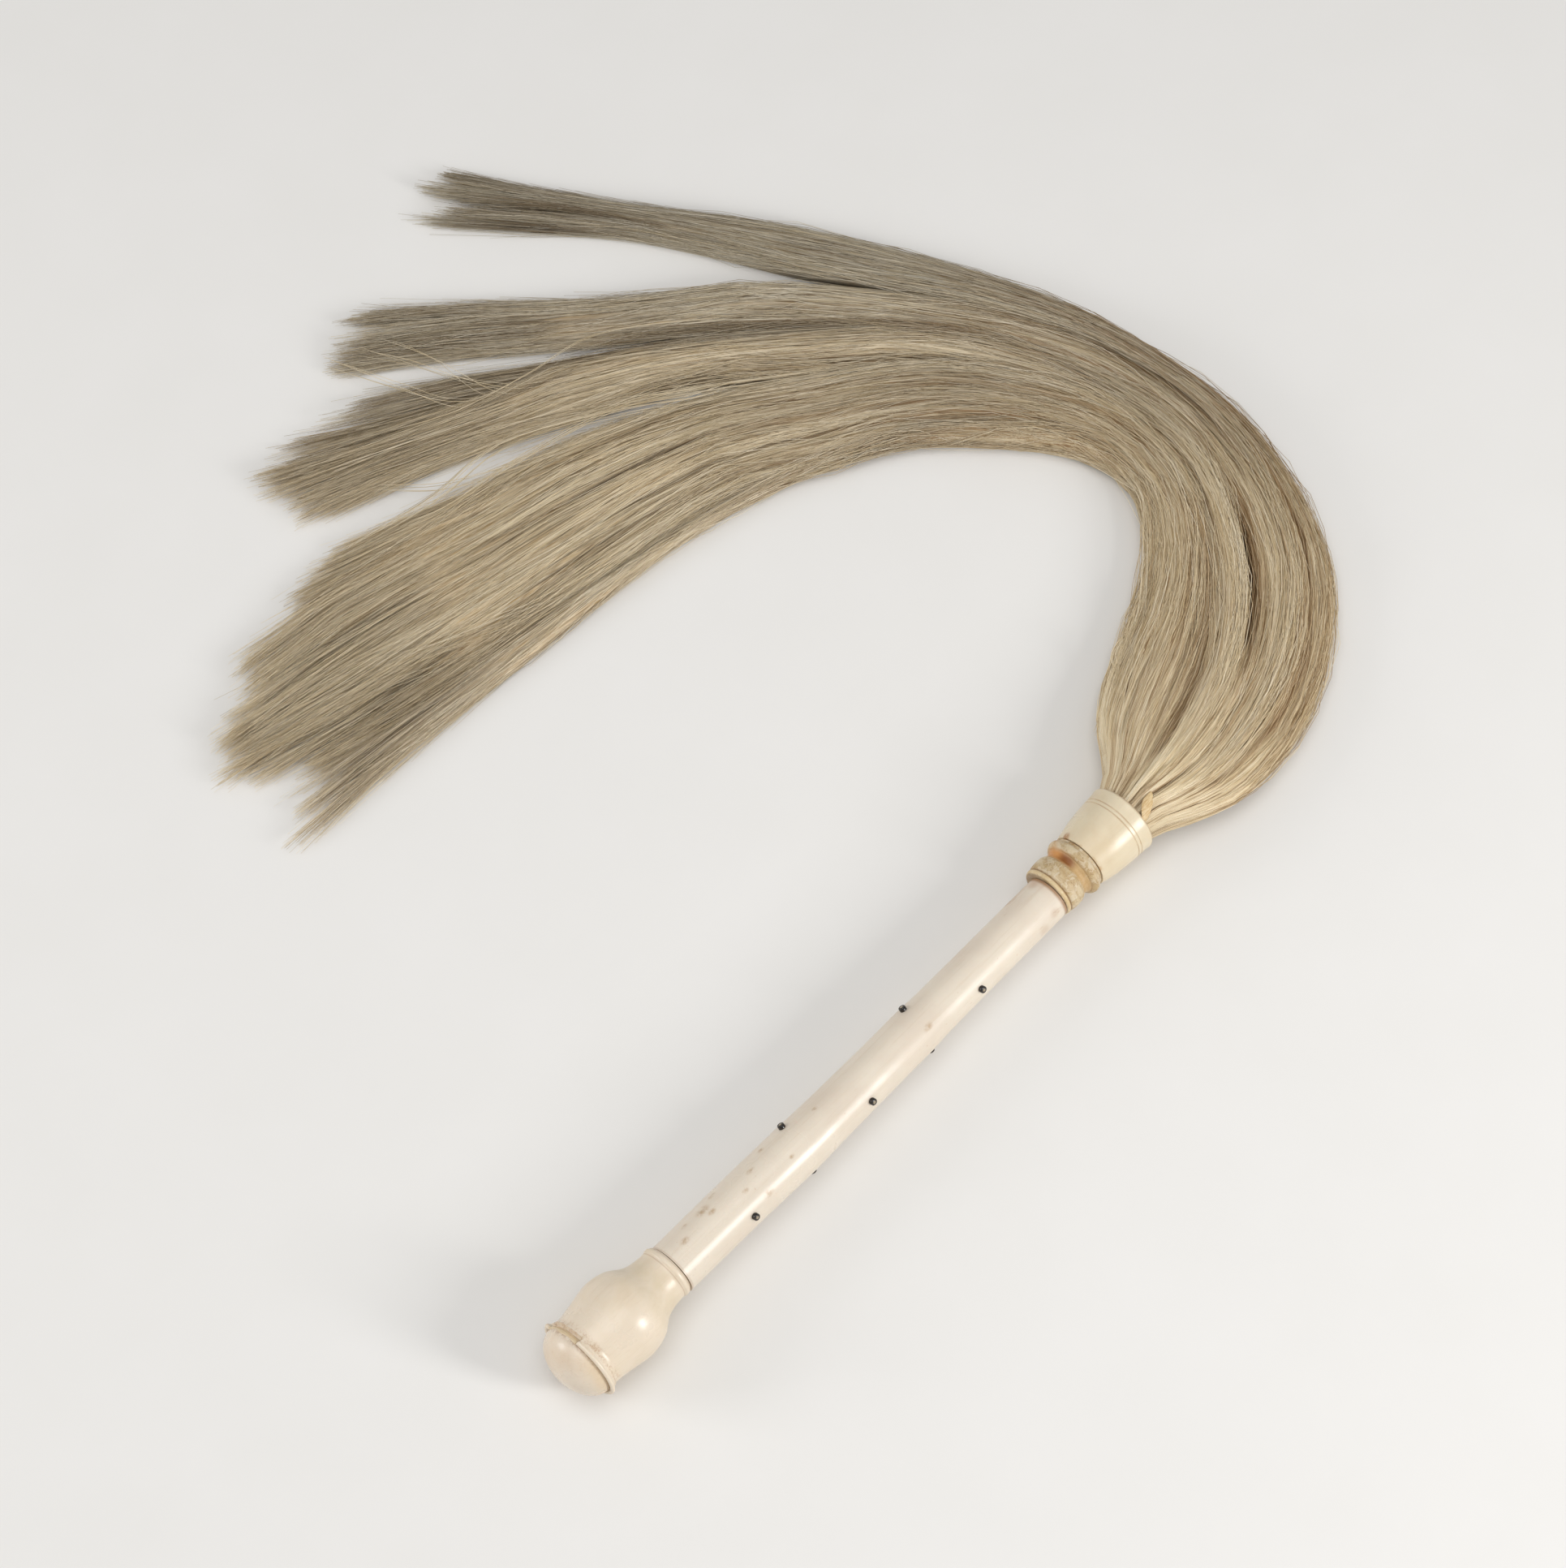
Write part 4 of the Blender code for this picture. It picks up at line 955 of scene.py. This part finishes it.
def reliefAt(whole, station):
    # height of the hair's surface over its dome, and its painted light and shade: painted shade in creases
    # and partings, painted highlight on ridges
    big, mid, fine = (np.abs(r.at(whole, station)) for r in (coarse, medium, small))
    smooth = 1 - 0.5 * easing(station, 2.5, 4.0) * (1 - easing(station, 8.0, 10.5))
    coarseHeight = tail["coarse"] * (np.minimum(big, 1.3) - 0.7)
    height = smooth * (coarseHeight + tail["medium"] * (np.minimum(mid, 1.3) - 0.7))
    height = height + tail["small"] * (np.minimum(fine, 1.3) - 0.7)
    now = np.clip(0.5 + fleeting.at(whole, station), 0, 1)
    near = 1 - easing(station, 3.0, 5.5)
    shade = 1.0 - 0.12 * smooth * np.exp(-((big / 0.16) ** 2))
    shade = shade - (0.13 + 0.24 * near) * now * np.exp(-((mid / 0.11) ** 2))
    shade = shade - (0.08 + 0.12 * near) * (1 - now) * np.exp(-((fine / 0.14) ** 2))
    # broad bands of painted light and shade along the hair
    shade = shade + 0.09 * litAndShadedBands.at(whole, station)
    for parting in partings:
        away, ends = acrossParting(parting, whole, station, 1.0)
        share = np.exp(-(away**2)) * ends
        height = height - parting["deep"] * share
        shade = shade * (1 - parting["dark"] * share)
    return height, shade


def waves(rng, count, period):
    found = []
    for share, factor in ((0.6, 1.0), (0.3, 0.43), (0.1, 0.2)):
        rate = math.tau / (period * factor) * rng.uniform(0.75, 1.3, (count, 1))
        found.append((share, rate, rng.uniform(0, math.tau, (count, 1))))
    return found


def swaying(parts, along):
    return sum(share * np.sin(along * rate + phase) for share, rate, phase in parts)


class Drift:
    # how neighbouring hairs lean to one side and back together, or carry streaks of painted light and
    # shade: size, and the lengths of its waves across and along, in millimetres
    def __init__(self, rng, rows):
        self.waves = []
        for size, across, along in rows:
            for _ in range(3):
                amount, rate = size * rng.uniform(0.5, 0.8), math.tau / (across * rng.uniform(0.7, 1.4))
                pace = math.tau / (along * rng.uniform(0.7, 1.5)) * rng.choice((-1, 1))
                self.waves.append((amount, rate, pace, rng.uniform(0, math.tau)))

    def at(self, across, along):
        return sum(size * np.sin(rate * across + pace * along + phase)
                   for size, rate, pace, phase in self.waves)


def drawHairs(lock, facts, kind, rng):
    # the facts of each hair, from which its path can be read anywhere along it
    count = {"top": facts["hairs"], "under": int(facts["hairs"] * tail["undersideShare"]),
             "loose": int(facts["hairs"] * tail["looseShare"]) + 6}[kind]
    centres = np.array(facts["tufts"])
    gap = 1.0 / len(centres)
    spread = rng.random(count)
    layer = rng.integers(0, 2, count)
    # the hairs gather in fine strands, each with its own tone
    strands = rng.random((2, max(4, int(facts["hairs"] / 36))))
    blur = rng.normal(0, 0.2 / strands.shape[1], (count, strands.shape[1]))
    number = np.abs(spread[:, None] - strands[layer] + blur).argmin(1)
    strand = strands[layer, number]
    strandTone = np.clip(rng.normal(0, 0.2, strands.shape), -0.42, 0.42)[layer, number]
    strandDepth = rng.uniform(0, 0.9, strands.shape)[layer, number]
    # and the strands in tufts, which end together
    blur = rng.normal(0, 0.3 * gap, (count, len(centres)))
    nearest = np.abs(spread[:, None] - centres[None, :] + blur).argmin(1)
    offset = np.clip((strand - centres[nearest]) / gap, -0.8, 0.8) * 0.5 + rng.normal(0, 0.09, count)
    early = np.interp(centres, *np.array(facts["early"]).T) - rng.normal(0, tail["ragged"], len(centres))
    short = (rng.random(count) < 0.3) * rng.uniform(0, 100, count)
    ends = lock.end - early[nearest] - np.abs(rng.normal(0, 8.0, count)) - 26 * np.abs(offset) - short
    # some of the top hairs lie down the lock's sides
    side = (rng.random(count) < 0.1) & (kind == "top")
    inward = (0.5 - np.round(spread)) * rng.uniform(0, 0.06, count)
    spread = np.where(side, np.round(spread) + inward, spread)
    depth = 0.05 + np.abs(rng.normal(0, 0.45, count))
    wandering = rng.random(count) < 0.15
    lateral = np.where(wandering, rng.uniform(1.0, 3.5, count), rng.uniform(0.1, 0.6, count))
    if kind == "loose":
        depth = -rng.uniform(0.1, 1.6, count)
        lateral = rng.uniform(1.2, 4.5, count)
        within = rng.random(count) < 0.4
        spread = np.where(within, spread, np.round(spread) + rng.normal(0, 0.025, count))
        ends = np.minimum(ends + (rng.random(count) < 0.3) * rng.uniform(0, 14, count), lock.end)
    if kind == "top":
        depth = depth + strandDepth
    sideHeight, tipHeight = np.where(side, rng.uniform(0.1, 1.0, count), 1.0), rng.uniform(0.08, 1.0, count)
    splay = (rng.normal(0, 1.8, count) + rng.normal(0, 2.0, len(centres))[nearest]) * facts.get("splay", 1.0)
    splay = splay - facts.get("outward", 1.5) * np.clip(1 - spread / 0.3, 0, 1)
    splay = splay + 1.5 * np.clip(spread / 0.3 - 2.3, 0, 1)
    tipLift = np.abs(rng.normal(0, 0.8, count))
    tones = rng.normal(1.16, 0.15, count) + (rng.random(count) < 0.12) * 0.4 + strandTone
    columns = {
        "spread": spread, "strand": strand, "gathered": centres[nearest] + offset * gap, "ends": ends,
        "depth": depth, "lateral": lateral, "layer": layer * 400.0, "number": np.arange(count) * 1.0,
        "sideHeight": sideHeight, "tipHeight": tipHeight, "splay": splay, "tipLift": tipLift,
        "tone": np.clip(tones, 0.5, 1.65),
    }
    hairs = {key: value[:, None] for key, value in columns.items()}
    hairs["depth"] = hairs["depth"] + (hairs["layer"] > 0) * 0.35 * (kind == "top")
    hairs["sideways"] = waves(rng, count, 150)
    hairs["upways"] = waves(rng, count, 130)
    hairs["kind"] = kind
    return hairs


def follow(lock, facts, hairs, along):
    # points and colours of each hair at distances along from the mouth
    kind = hairs["kind"]
    free = np.clip(along / 90.0, 0.1, 1.0)
    tip = easing(along, hairs["ends"] - tail["tipLength"], hairs["ends"])
    join = easing(along, lock.end - 170, lock.end - 30)
    values = lock.values(along)
    width = np.hypot(values[2] - values[0], values[3] - values[1])
    gathering = (0.15 + 0.5 * easing(along, 130, 330)) * (kind != "loose")
    u = hairs["spread"] + (hairs["strand"] - hairs["spread"]) * gathering
    u = u + (hairs["gathered"] - u) * join * 0.85
    felt, dip, dark = u, 0.0, 0.0
    toEnd = along - lock.end
    # each slit parts the hair, sinks it, and paints shade along it
    for middle, lean, first, last, half, much in lock.slits(facts):
        away = (u - middle - lean * (toEnd - first) / 100) * width / half
        opens = easing(toEnd, first, first * 0.7 + last * 0.3)
        lens = opens * easing(-toEnd, -last, -last * 0.7 - first * 0.3)
        dip = dip + 2.6 * half * lens * np.exp(-(away**2))
        dark = dark + much * lens * np.exp(-(away**2))
        u = u + 0.8 * half / width * lens * np.tanh(away * 3) * np.exp(-((away / 2.5) ** 2))
    span = lock.share[1] - lock.share[0]
    drift = lock.drift.at(hairs["spread"] * 55 * span / 0.3 + hairs["layer"], along)
    edge = np.clip(np.minimum(hairs["spread"], 1 - hairs["spread"]) * 8, 0.15, 1)
    u = u + (swaying(hairs["sideways"], along) * hairs["lateral"] + drift * edge) / width * free
    u = u + hairs["splay"] * tip**2 / width
    if kind != "loose":
        # what would leave the lock is mirrored back, save at the tips
        inside = np.clip(tip * 3, 0, 1)
        mirrored = 1 - np.abs(1 - np.abs(u))
        u = mirrored + (u - mirrored) * inside
    if kind == "under":
        where, _, whole, station = lock.point(along, u, 0.0, hairs["depth"] * 0.1)
        # the underside hairs get painted shade
        shade = 0.9 * np.ones_like(whole)
    else:
        depth = hairs["depth"] * free + (kind == "loose") * 0.4 * (1 - free) + np.minimum(dip, 2.5)
        where, shade, whole, station = lock.point(along, u, depth, felt=felt)
        # painted shade in the slits and on the hairs that lie deeper
        shade = shade * (1 - np.minimum(dark, 0.85)) * (1 - 0.3 * np.clip(hairs["depth"] - 0.3, 0, 1))
        # down the side of the lock, and at the tips through its whole height
        filled = lock.point(along, u, 0.0, hairs["tipHeight"])[0]
        sunk = lock.point(along, u, 0.0, hairs["sideHeight"])[0]
        where = where + (sunk - where) * (hairs["sideHeight"] < 1)[..., None] * (1 - tip)[..., None]
        where = where + (filled - where) * easing(along, hairs["ends"] - 110, hairs["ends"] - 30)[..., None]
    where[..., 2] += swaying(hairs["upways"], along) * 0.12 * free + hairs["tipLift"] * tip**2
    where[..., 2] = np.maximum(where[..., 2], tail["lowest"])
    streak = lock.streak.at(felt * width, along)
    for low, high, first, last, much in facts.get("shaded", ()):
        middle, half = (low + high) / 2, (high - low) / 2
        between = easing(along, first, first + 40) * easing(-along, -last, 40 - last)
        shade = shade * (1 - much * np.exp(-(((u - middle) / half) ** 2)) * between)
    # painted light and shade in streaks along the strands, stronger towards the tips
    vivid = 1 + 0.8 * easing(along, 240, 440)
    mixed = hairs["tone"] + 0.1 * streak * vivid * (kind == "top")
    tints = hairColourAndShade(facts, along, whole, station, shade * mixed)
    return where, tints, np.stack([hairs["number"] * 7.3 + 0 * along, along, 0 * along], -1)


def linear(colour):
    return np.array(tone(*colour)[:3])


def hairColourAndShade(facts, along, whole, station, shade):
    # cream at the mouth, warmer through the bend, then the lock's own colour; golden brown where shade is
    # painted, pale cream where a highlight is painted
    rows = np.array([linear(c) for c in (*hairColours["tints"], facts["tint"])])
    colour = np.stack([np.interp(along, hairColours["stops"], channel) for channel in rows.T], -1)
    # painted shade along the outer side of the bend, and in a patch beyond the bend
    outer = np.clip(1 - whole / np.interp(station, (7.0, 10.5), (0.26, 0.42)), 0, 1)
    outer = outer * np.interp(station, (1.5, 4.0, 8.0, 10.5, 13.0, 16.0), (0.05, 0.26, 0.23, 0.3, 0.2, 0.0))
    outer = outer + 0.14 * np.exp(-(((whole - 0.75) / 0.22) ** 2) - ((station - 11.0) / 1.6) ** 2)
    light = 1 + (facts.get("light", 1.0) - 1) * easing(along, 360, 500)
    shade = np.clip((shade - outer) * light, 0.12, 1.6)
    far = easing(along, 220, 400)[..., None]
    warm = linear(hairColours["dark"]) * (1 - far) + linear(hairColours["darkFar"]) * far
    # painted shade mixes in golden brown, a painted highlight mixes in pale cream
    paintedShade, pale = np.clip(1 - shade, 0, 1)[..., None], np.clip(shade - 1, 0, 0.6)[..., None]
    colour = colour * (1 - paintedShade) ** 2 + warm * paintedShade * (1 - paintedShade) * 1.9
    return np.clip(colour + (linear(hairColours["pale"]) - colour) * pale * 1.1, 0.01, 0.95)


def strandMesh(name, paths, tints, flow, thick):
    # each path becomes a closed hair of three sides
    hairs, count = paths.shape[:2]
    tangent = np.gradient(paths, axis=1)
    tangent /= np.linalg.norm(tangent, axis=2, keepdims=True) + 1e-9
    side = np.cross(tangent, (0.0, 0.0, 1.0))
    side /= np.linalg.norm(side, axis=2, keepdims=True) + 1e-9
    up = np.cross(tangent, side)
    turn = flow[:, :1, 0] * 1.7  # the same in each length of a hair
    corners = turn[..., None] + np.array((0.0, 1.0, 2.0)) * math.tau / 3
    ring = side[:, :, None, :] * np.cos(corners)[..., None] + up[:, :, None, :] * np.sin(corners)[..., None]
    verts = (paths[:, :, None, :] + ring * thick[..., None, None]).reshape(-1, 3) * mm + np.array(mouthAt)
    h = np.arange(hairs)[:, None, None] * count * 3
    i = np.arange(count - 1)[None, :, None] * 3
    j = np.arange(3)[None, None, :]
    k = (j + 1) % 3
    quads = np.stack([h + i + j, h + i + k, h + i + 3 + k, h + i + 3 + j], -1).reshape(-1, 4)
    first = np.arange(hairs)[:, None] * count * 3
    roots = first + np.array((2, 1, 0))
    ends = first + (count - 1) * 3 + np.array((0, 1, 2))
    mesh = meshFrom(name, verts, quads, roots, ends)
    # every hair has a strip of its own for baking
    columns = int(math.ceil(math.sqrt(hairs / 4.0)))
    lines = int(math.ceil(hairs / columns))
    corner = np.stack([np.arange(hairs) % columns / columns, np.arange(hairs) // columns / lines], -1)
    across = np.stack([j, j + 1, j + 1, j], -1) / 3.0 * np.ones((hairs, count - 1, 1, 1))
    length = np.stack([i, i, i + 3, i + 3], -1) / (3.0 * (count - 1)) * np.ones((hairs, 1, 3, 1))
    strip = np.stack([(0.1 + 0.8 * across) / columns, (0.06 + 0.88 * length) / lines], -1)
    strip = strip + corner[:, None, None, None, :]
    tab = np.array(((0.1, 0.0), (0.5, 0.03), (0.9, 0.0)))
    low, high = ((tab + (0.0, shift)) / (columns, lines) + corner[:, None, :] for shift in (0.01, 0.95))
    uv = mesh.uv_layers.new(name="OFBake")
    flat = np.concatenate([part.reshape(-1, 2) for part in (strip, low, high)])
    uv.data.foreach_set("uv", flat.astype(np.float32).ravel())
    tints, flow = (np.repeat(rows.reshape(-1, 3), 3, axis=0) for rows in (tints, flow))
    return dressed(mesh, tints, flow, hairLook)


def meshFrom(name, verts, sides, *caps):
    mesh = bpy.data.meshes.new(name)
    mesh.vertices.add(len(verts))
    mesh.vertices.foreach_set("co", np.asarray(verts, np.float32).ravel())
    groups = (sides, *caps)
    loops = np.concatenate([group.ravel() for group in groups])
    mesh.loops.add(len(loops))
    mesh.loops.foreach_set("vertex_index", loops.astype(np.int32))
    sizes = np.concatenate([np.full(len(group), group.shape[1]) for group in groups])
    mesh.polygons.add(len(sizes))
    mesh.polygons.foreach_set("loop_start", np.r_[0, np.cumsum(sizes)[:-1]].astype(np.int32))
    mesh.update(calc_edges=True)
    mesh.polygons.foreach_set("use_smooth", np.ones(len(sizes), bool))
    # the edges round the ends are sharp, so that the ends don't darken the sides
    atEnd = np.zeros(len(verts), bool)
    for cap in caps:
        atEnd[cap.ravel()] = True
    pairs = np.empty(len(mesh.edges) * 2, np.int32)
    mesh.edges.foreach_get("vertices", pairs)
    mesh.edges.foreach_set("use_edge_sharp", atEnd[pairs].reshape(-1, 2).all(1))
    return mesh


def dressed(mesh, tints, flow, look):
    tint = mesh.color_attributes.new("hairColourAndShade", "FLOAT_COLOR", "POINT")
    tint.data.foreach_set("color", np.c_[tints, np.ones(len(tints))].astype(np.float32).ravel())
    flowing = mesh.attributes.new("hairFlow", "FLOAT_VECTOR", "POINT")
    flowing.data.foreach_set("vector", flow.astype(np.float32).ravel())
    mesh.validate()
    mesh.materials.append(look)
    piece = bpy.data.objects.new(mesh.name, mesh)
    bpy.context.scene.collection.objects.link(piece)
    return piece


def coreMesh(name, lock, facts, start, end, columns, taper):
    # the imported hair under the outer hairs: a closed body with the same ribbons
    stations = int((end - start) / 5.0)
    along = np.linspace(start, end, stations + 1)[:, None]
    shrink = np.clip((end - along) / taper, 0.06, 1.0) ** 0.7 if taper else np.ones_like(along)
    u = 0.5 + (np.linspace(0.012, 0.988, columns + 1)[None, :] - 0.5) * (0.5 + 0.5 * shrink)
    along = along * np.ones_like(u)
    top, shade, whole, station = lock.point(along, u, 1.0)
    bottom = lock.point(along, u, 0.0, 0.03)[0]
    bottom[..., 2] += 0.5
    top[..., 2] = bottom[..., 2] + np.maximum(top[..., 2] - bottom[..., 2], 0.4) * shrink
    width = u * np.hypot(top[:, -1:, 0] - top[:, :1, 0], top[:, -1:, 1] - top[:, :1, 1])
    streak = lock.streak.at(width, along)
    tints = hairColourAndShade(facts, along, whole, station, shade + 0.1 * streak)
    ring = np.concatenate([top, bottom[:, ::-1]], 1)
    ringTints = np.concatenate([tints, tints[:, ::-1]], 1)
    flow = np.stack([width, along, whole], -1)
    ringFlow = np.concatenate([flow, flow[:, ::-1] + (300.0, 0.0, 0.0)], 1)
    count = ring.shape[1]
    i = np.arange(stations)[:, None] * count
    j = np.arange(count)[None, :]
    k = (j + 1) % count
    quads = np.stack([i + j, i + k, i + count + k, i + count + j], -1).reshape(-1, 4)
    half = count // 2
    j = np.arange(half - 1)
    cap = np.stack([j, count - 1 - j, count - 2 - j, j + 1], -1)
    far = np.stack([j, j + 1, count - 2 - j, count - 1 - j], -1) + stations * count
    verts = ring.reshape(-1, 3) * mm + np.array(mouthAt)
    mesh = meshFrom(name, verts, quads, cap, far)
    piece = dressed(mesh, ringTints.reshape(-1, 3), ringFlow.reshape(-1, 3), coreLook)
    choose(piece)
    openAll()
    faceOut()
    return piece


def makeHairLook():
    look = Look("horseHair")
    tint = look.node("ShaderNodeAttribute", {"attribute_name": "hairColourAndShade"})
    flow = look.node("ShaderNodeAttribute", {"attribute_name": "hairFlow"}, out=1)
    along = look.noise(look.stretched(flow, (1.0, 0.03, 0.0)), 1.0, 2.0, 0.6)
    shaded = look.mix(1.0, tint, tone(230, 221, 202), "MULTIPLY")
    colour = look.mix(look.ramp(along, 0.35, 0.65), shaded, tint)
    return look.surface(Base_Color=colour, Roughness=look.ramp(along, 0.3, 0.7, 0.34, 0.46), IOR=1.5,
                        Specular_IOR_Level=0.5)


def makeCoreLook():
    look = Look("packedHair")
    tint = look.node("ShaderNodeAttribute", {"attribute_name": "hairColourAndShade"})
    flow = look.node("ShaderNodeAttribute", {"attribute_name": "hairFlow"}, out=1)
    fine = look.noise(look.stretched(flow, (3.2, 0.02, 0.0)), 1.0, 3.0, 0.7)
    broad = look.noise(look.stretched(flow, (0.7, 0.012, 0.0)), 1.0, 3.0, 0.6)
    # painted shade: the packed hair is darker where it shows between the outer hairs, lighter along its
    # strands
    dark = look.mix(1.0, tint, tone(196, 174, 136), "MULTIPLY")
    strands = look.ramp(fine, 0.35, 0.65) * 0.6 + look.ramp(broad, 0.4, 0.65) * 0.4
    colour = look.stained(dark, strands, tint)
    return look.surface(Base_Color=colour, Roughness=look.ramp(broad, 0.3, 0.7, 0.4, 0.52), IOR=1.5,
                        Specular_IOR_Level=0.4, Normal=look.bump(fine + broad, 0.0004, 0.6))


def bendAtMouth(piece):
    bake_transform(piece)


def bendInTail(piece):
    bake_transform(piece)


def stationShares(length):
    # hairs get closer points through the fan and the bend than along the straight ends
    fine = np.linspace(0, length, 400)
    density = np.interp(fine, (0, 90, 230, 290, 700), (1 / 17, 1 / 15, 1 / 16, 1 / 32, 1 / 48))
    total = np.r_[0.0, np.cumsum((density[1:] + density[:-1]) / 2 * np.diff(fine))]
    count = int(total[-1]) + 1
    return np.interp(np.linspace(0, total[-1], count), total, fine) / length


hairLook, coreLook = makeHairLook(), makeCoreLook()
spaces = {name: Lock(facts["share"], facts["ribs"], facts["lift"]) for name, facts in locks.items()}


def makeCores():
    whole = Lock((0.0, 1.0), ())
    # its colour, darker than the outer hairs', is painted shade
    facts = {"tint": hairColours["packed"]}
    waist = coreMesh("waistCore", whole, facts, -8.0, tail["near"][-1], 90, 6.0)
    bendAtMouth(waist)
    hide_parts("hair_waist", "hair_root")
    rest = coreMesh("tailCore", whole, facts, tail["near"][-2], whole.end - 2.0, 90, 0)
    bendInTail(rest)
    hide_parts("near_bundle_outer", "near_bundle_middle", "near_bundle_inner",
                "far_bundle_outer", "far_bundle_middle", "far_bundle_inner")
    for name, lock in spaces.items():
        columns = int(14 + 60 * (lock.share[1] - lock.share[0]))
        start = float(np.interp(11.5, lock.stations, lock.along))
        piece = coreMesh(f"{name}Core", lock, locks[name], start, lock.end - 38.0, columns, 60.0)
        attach(piece, "tail")
        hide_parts(*locks[name]["nodes"])


def makeHairs():
    # every hair is three lengths: out of the cup, round the bend, and the rest, which the tail carries
    waistSet, bendSet = [], []
    start, cut = tail["near"][-1], tail["bendPoints"]
    for name, facts in locks.items():
        lock = spaces[name]
        rng = np.random.default_rng(sum(map(ord, name)))
        for kind in ("top", "under", "loose"):
            hairs = drawHairs(lock, facts, kind, rng)
            count = len(hairs["ends"])
            near = tail["near"] * np.ones((count, 1))
            waistSet.append(follow(lock, facts, hairs, near))
            # the second length takes up the last step of the first
            far = start + stationShares(lock.end - start)[None, :] * (hairs["ends"] - start)
            far = np.concatenate([near[:, -2:-1], far], 1)
            points = far.shape[1]
            size = tail["looseThick"] if kind == "loose" else tail["thick"]
            thinning = np.interp(np.linspace(0, 1, points), (0.0, 0.8, 1.0), (1.0, 1.0, 0.45))
            parts = (*follow(lock, facts, hairs, far), size * thinning * np.ones((count, 1)))
            bendSet.append([part[:, :cut] for part in parts])
            triangles = count * ((points - cut) * 6 + 2)
            shares = np.array_split(np.arange(count), 1 + triangles // tail["pieceTriangles"])
            for number, some in enumerate(shares, 1):
                rest = (part[some, cut - 1:] for part in parts)
                piece = strandMesh(f"{name}{kind.capitalize()}Hair{number}", *rest)
                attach(piece, "tail")
    waist = [np.concatenate([part[k] for part in waistSet]) for k in range(3)]
    last = len(tail["near"]) - 1
    thinning = np.interp(np.arange(last + 1), (0, last - 1, last), (1.0, 1.0, 0.3))
    waist.append(tail["thick"] * thinning * np.ones((len(waist[0]), 1)))
    bend = [np.concatenate([part[k] for part in bendSet]) for k in range(4)]
    for name, parts, finish in (("waist", waist, bendAtMouth), ("bend", bend, bendInTail)):
        for number, some in enumerate(np.array_split(np.arange(len(parts[0])), 3), 1):
            finish(strandMesh(f"{name}Hair{number}", *(part[some] for part in parts)))
    print("hairs", len(waist[0]))


def makeStrays():
    rng = np.random.default_rng(17)
    share = np.linspace(0, 1, 24)
    along = share[None, :, None]
    for number, (route, count, apart) in enumerate(strays, 1):
        middle = curveThrough(route, np.linspace(0, len(route) - 1, len(share)))
        start, end = rng.normal(0, apart, (2, count, 1, 3)) * (1, 1, 0.25)
        bend = rng.normal(0, apart * 0.7, (count, 1, 3)) * (1, 1, 0.2)
        bent = bend * np.sin(along * math.pi * rng.uniform(0.8, 2.2, (count, 1, 1)))
        paths = middle[None] + start * (1 - along) + end * along + bent
        paths[..., 2] = np.maximum(paths[..., 2], tail["lowest"])
        tints = linear(hairColours["stray"]) * rng.uniform(0.75, 1.0, (count, 1, 1)) * np.ones_like(paths)
        each = np.ones((count, 1))
        flow = np.stack([(number + np.arange(count))[:, None] * np.ones(len(share)), share * 150 * each,
                         0 * paths[..., 0]], -1)
        thick = tail["thick"] * np.interp(share, (0, 0.1, 0.85, 1), (0.4, 1, 1, 0.4)) * each
        piece = strandMesh(f"looseHair{number}", paths, tints, flow, thick)
        if route[0][1] > 150:
            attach(piece, "tail")
        else:
            bendInTail(piece)


makeCores()
makeHairs()
makeStrays()
